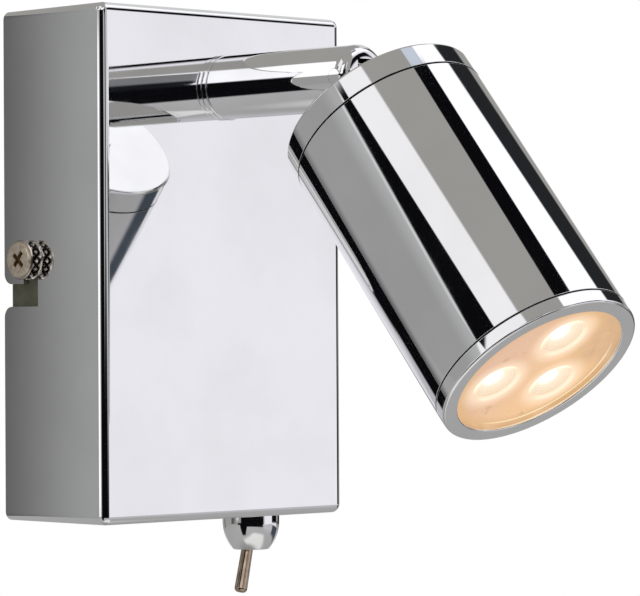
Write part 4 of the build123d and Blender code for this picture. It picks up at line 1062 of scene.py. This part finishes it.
for centre in optic_centres:
    dish_offset, dish_out = from_axis(lens_place, centre)
    dish_down = dish_offset.along(lens_lower)
    dish_ring = lens_place.math("SINE", dish_out * (2 * pi / RING_PITCH)) * RING_SHARE + lens_speck
    lens_glow = dish_out.rise(*HAZE_OUT).mix(LENS_HAZE, lens_glow)
    # Painted highlight on the lower lip of each dish
    dish_lip_highlight = dish_out.rise(*LIP_IN) * (1.0 - dish_out.rise(*LIP_OUT)) * dish_down.rise(*LIP_DOWN)
    dish_fill = dish_ring.rise(*RING_SPREAD).mix(DISH_WALL, LENS_HAZE)
    dish_fill = (1.0 - dish_down.rise(*WALL_DOWN)).mix(dish_fill, LENS_HAZE)
    lens_glow = dish_out.rise(*DISH_OUT).mix(dish_fill, lens_glow)
    lens_glow = dish_lip_highlight.mix(lens_glow, DISH_LIP_HIGHLIGHT)
    lens_glow = dish_out.rise(*GLOW_OUT).mix(DISH_GLOW, lens_glow)
    lens_glow = dish_out.rise(*CORE_OUT).mix(DISH_CORE, lens_glow)
lens_glow.to(lens_shader, "Emission Color")
dimple(lens_speck, SPECK_DEPTH, lens_shader)

lens_outline = [(0, LENS_FRONT, 0), (LENS_RADIUS, LENS_FRONT, 0)]
lens_outline += [(LENS_RADIUS, LENS_BACK, 0), (0, LENS_BACK, 0)]
lens_shape = turned(pivot, head_way, lens_outline, HEAD_STEPS, LENS_RINGS)
for vert in lens_shape.verts:
    along = (vert.co - pivot_point).dot(head_way)
    if along > (LENS_FRONT - LENS_SKIN) * MM:
        for centre in optic_centres:
            away = (vert.co - centre).cross(head_way).length / (OPTIC_MOUTH * MM)
            if away < 1.0:
                vert.co -= head_way * OPTIC_DISH * MM * (1.0 - away**2)
optic_outline = [(0, OPTIC_TIP, 0), (OPTIC_FOOT, OPTIC_TIP, 0)]
optic_outline += [(OPTIC_BASE, LENS_BACK, 0), (0, LENS_BACK, 0)]
for centre in optic_centres:
    optic = turned(centre / MM, head_way, optic_outline, OPTIC_STEPS)
    optic_mesh = bpy.data.meshes.new("optic")
    optic.to_mesh(optic_mesh)
    optic.free()
    lens_shape.from_mesh(optic_mesh)
    bpy.data.meshes.remove(optic_mesh)
piece_of("lens_face", lens_shape, lens, "head", ["lamp_lens"])


# Dome nut: a chromed brass bell under the box, which clamps the switch and guides its lever.
# It is turned with a short straight skirt and a curved shoulder down to a small flat.
DOME_RADIUS = 8.1
DOME_SKIRT = 2.4
DOME_TALL = 10.5
DOME_FLAT = 5.0
DOME_HOLE = 3.8
DOME_SEAT = 6.9
DOME_BORE = 4.85
DOME_STEPS = 14
DOME_TURNS = 128
DOME_SEAT_ROUND = 0.2
DOME_FLAT_ROUND = 0.25
DOME_HOLE_ROUND = 0.2
downward = Vector((0, 0, -1))
dome_rise = DOME_TALL - DOME_SKIRT
dome_inset = DOME_RADIUS - DOME_FLAT
dome_sweep = (dome_rise**2 + dome_inset**2) / (2 * dome_inset)
dome_outline = [(DOME_BORE, 0, 0), (DOME_RADIUS, 0, DOME_SEAT_ROUND), (DOME_RADIUS, DOME_SKIRT, 0)]
for step in range(1, DOME_STEPS):
    fallen = dome_rise * step / DOME_STEPS
    bulge = sqrt(dome_sweep**2 - fallen**2)
    dome_outline.append((DOME_RADIUS - dome_sweep + bulge, DOME_SKIRT + fallen, 0))
dome_outline += [(DOME_FLAT, DOME_TALL, DOME_FLAT_ROUND), (DOME_HOLE, DOME_TALL, DOME_HOLE_ROUND)]
dome_outline += [(DOME_HOLE, DOME_SEAT, 0), (DOME_BORE, DOME_SEAT, 0)]
piece_of(
    "bell_nut",
    turned(SWITCH_PLACE, downward, dome_outline, DOME_TURNS),
    chrome,
    "base",
    ["switch_dome_nut"],
)


# Toggle lever: a turned lever in warm nickel with a rounded end, on a ball inside the bushing.
# It tips between two positions, on and off.
LEVER_PIVOT = (*SWITCH_PLACE[:2], -73.9)
LEVER_TILT = radians(12.8)
LEVER_NECK = 1.6
LEVER_TIP = 1.85
LEVER_REACH = 19.25
LEVER_BALL = 3.64
BALL_STEPS = 10
LEVER_TAIL = 6.0
TAIL_RADIUS = 1.2
TAIL_ROUND = 0.2
TIP_ROUND = 1.2
LEVER_TURNS = 64
LEVER_BRIGHT = (0.50, 0.39, 0.30, 1.0)
LEVER_DULL = (0.34, 0.255, 0.19, 1.0)
lever_finish = clouded(
    "lever_nickel",
    (LEVER_DULL, LEVER_BRIGHT),
    scale=500.0,
    spread=(0.3, 0.7),
    gloss=(0.04, 0.05),
    Metallic=1.0,
)
lever_way = Vector((-sin(LEVER_TILT), 0, -cos(LEVER_TILT)))
ball_from = -sqrt(LEVER_BALL**2 - TAIL_RADIUS**2)
lever_outline = [(0, -LEVER_TAIL, 0), (TAIL_RADIUS, -LEVER_TAIL, TAIL_ROUND), (TAIL_RADIUS, ball_from, 0)]
ball_to = sqrt(LEVER_BALL**2 - LEVER_NECK**2)
for step in range(1, BALL_STEPS):
    far = ball_from + (ball_to - ball_from) * step / BALL_STEPS
    lever_outline.append((sqrt(LEVER_BALL**2 - far**2), far, 0))
lever_outline += [(LEVER_NECK, ball_to, 0), (LEVER_TIP, LEVER_REACH, TIP_ROUND), (0, LEVER_REACH, 0)]
piece_of(
    "toggle_lever",
    turned(LEVER_PIVOT, lever_way, lever_outline, LEVER_TURNS),
    lever_finish,
    "lever",
    ["switch_lever"],
)
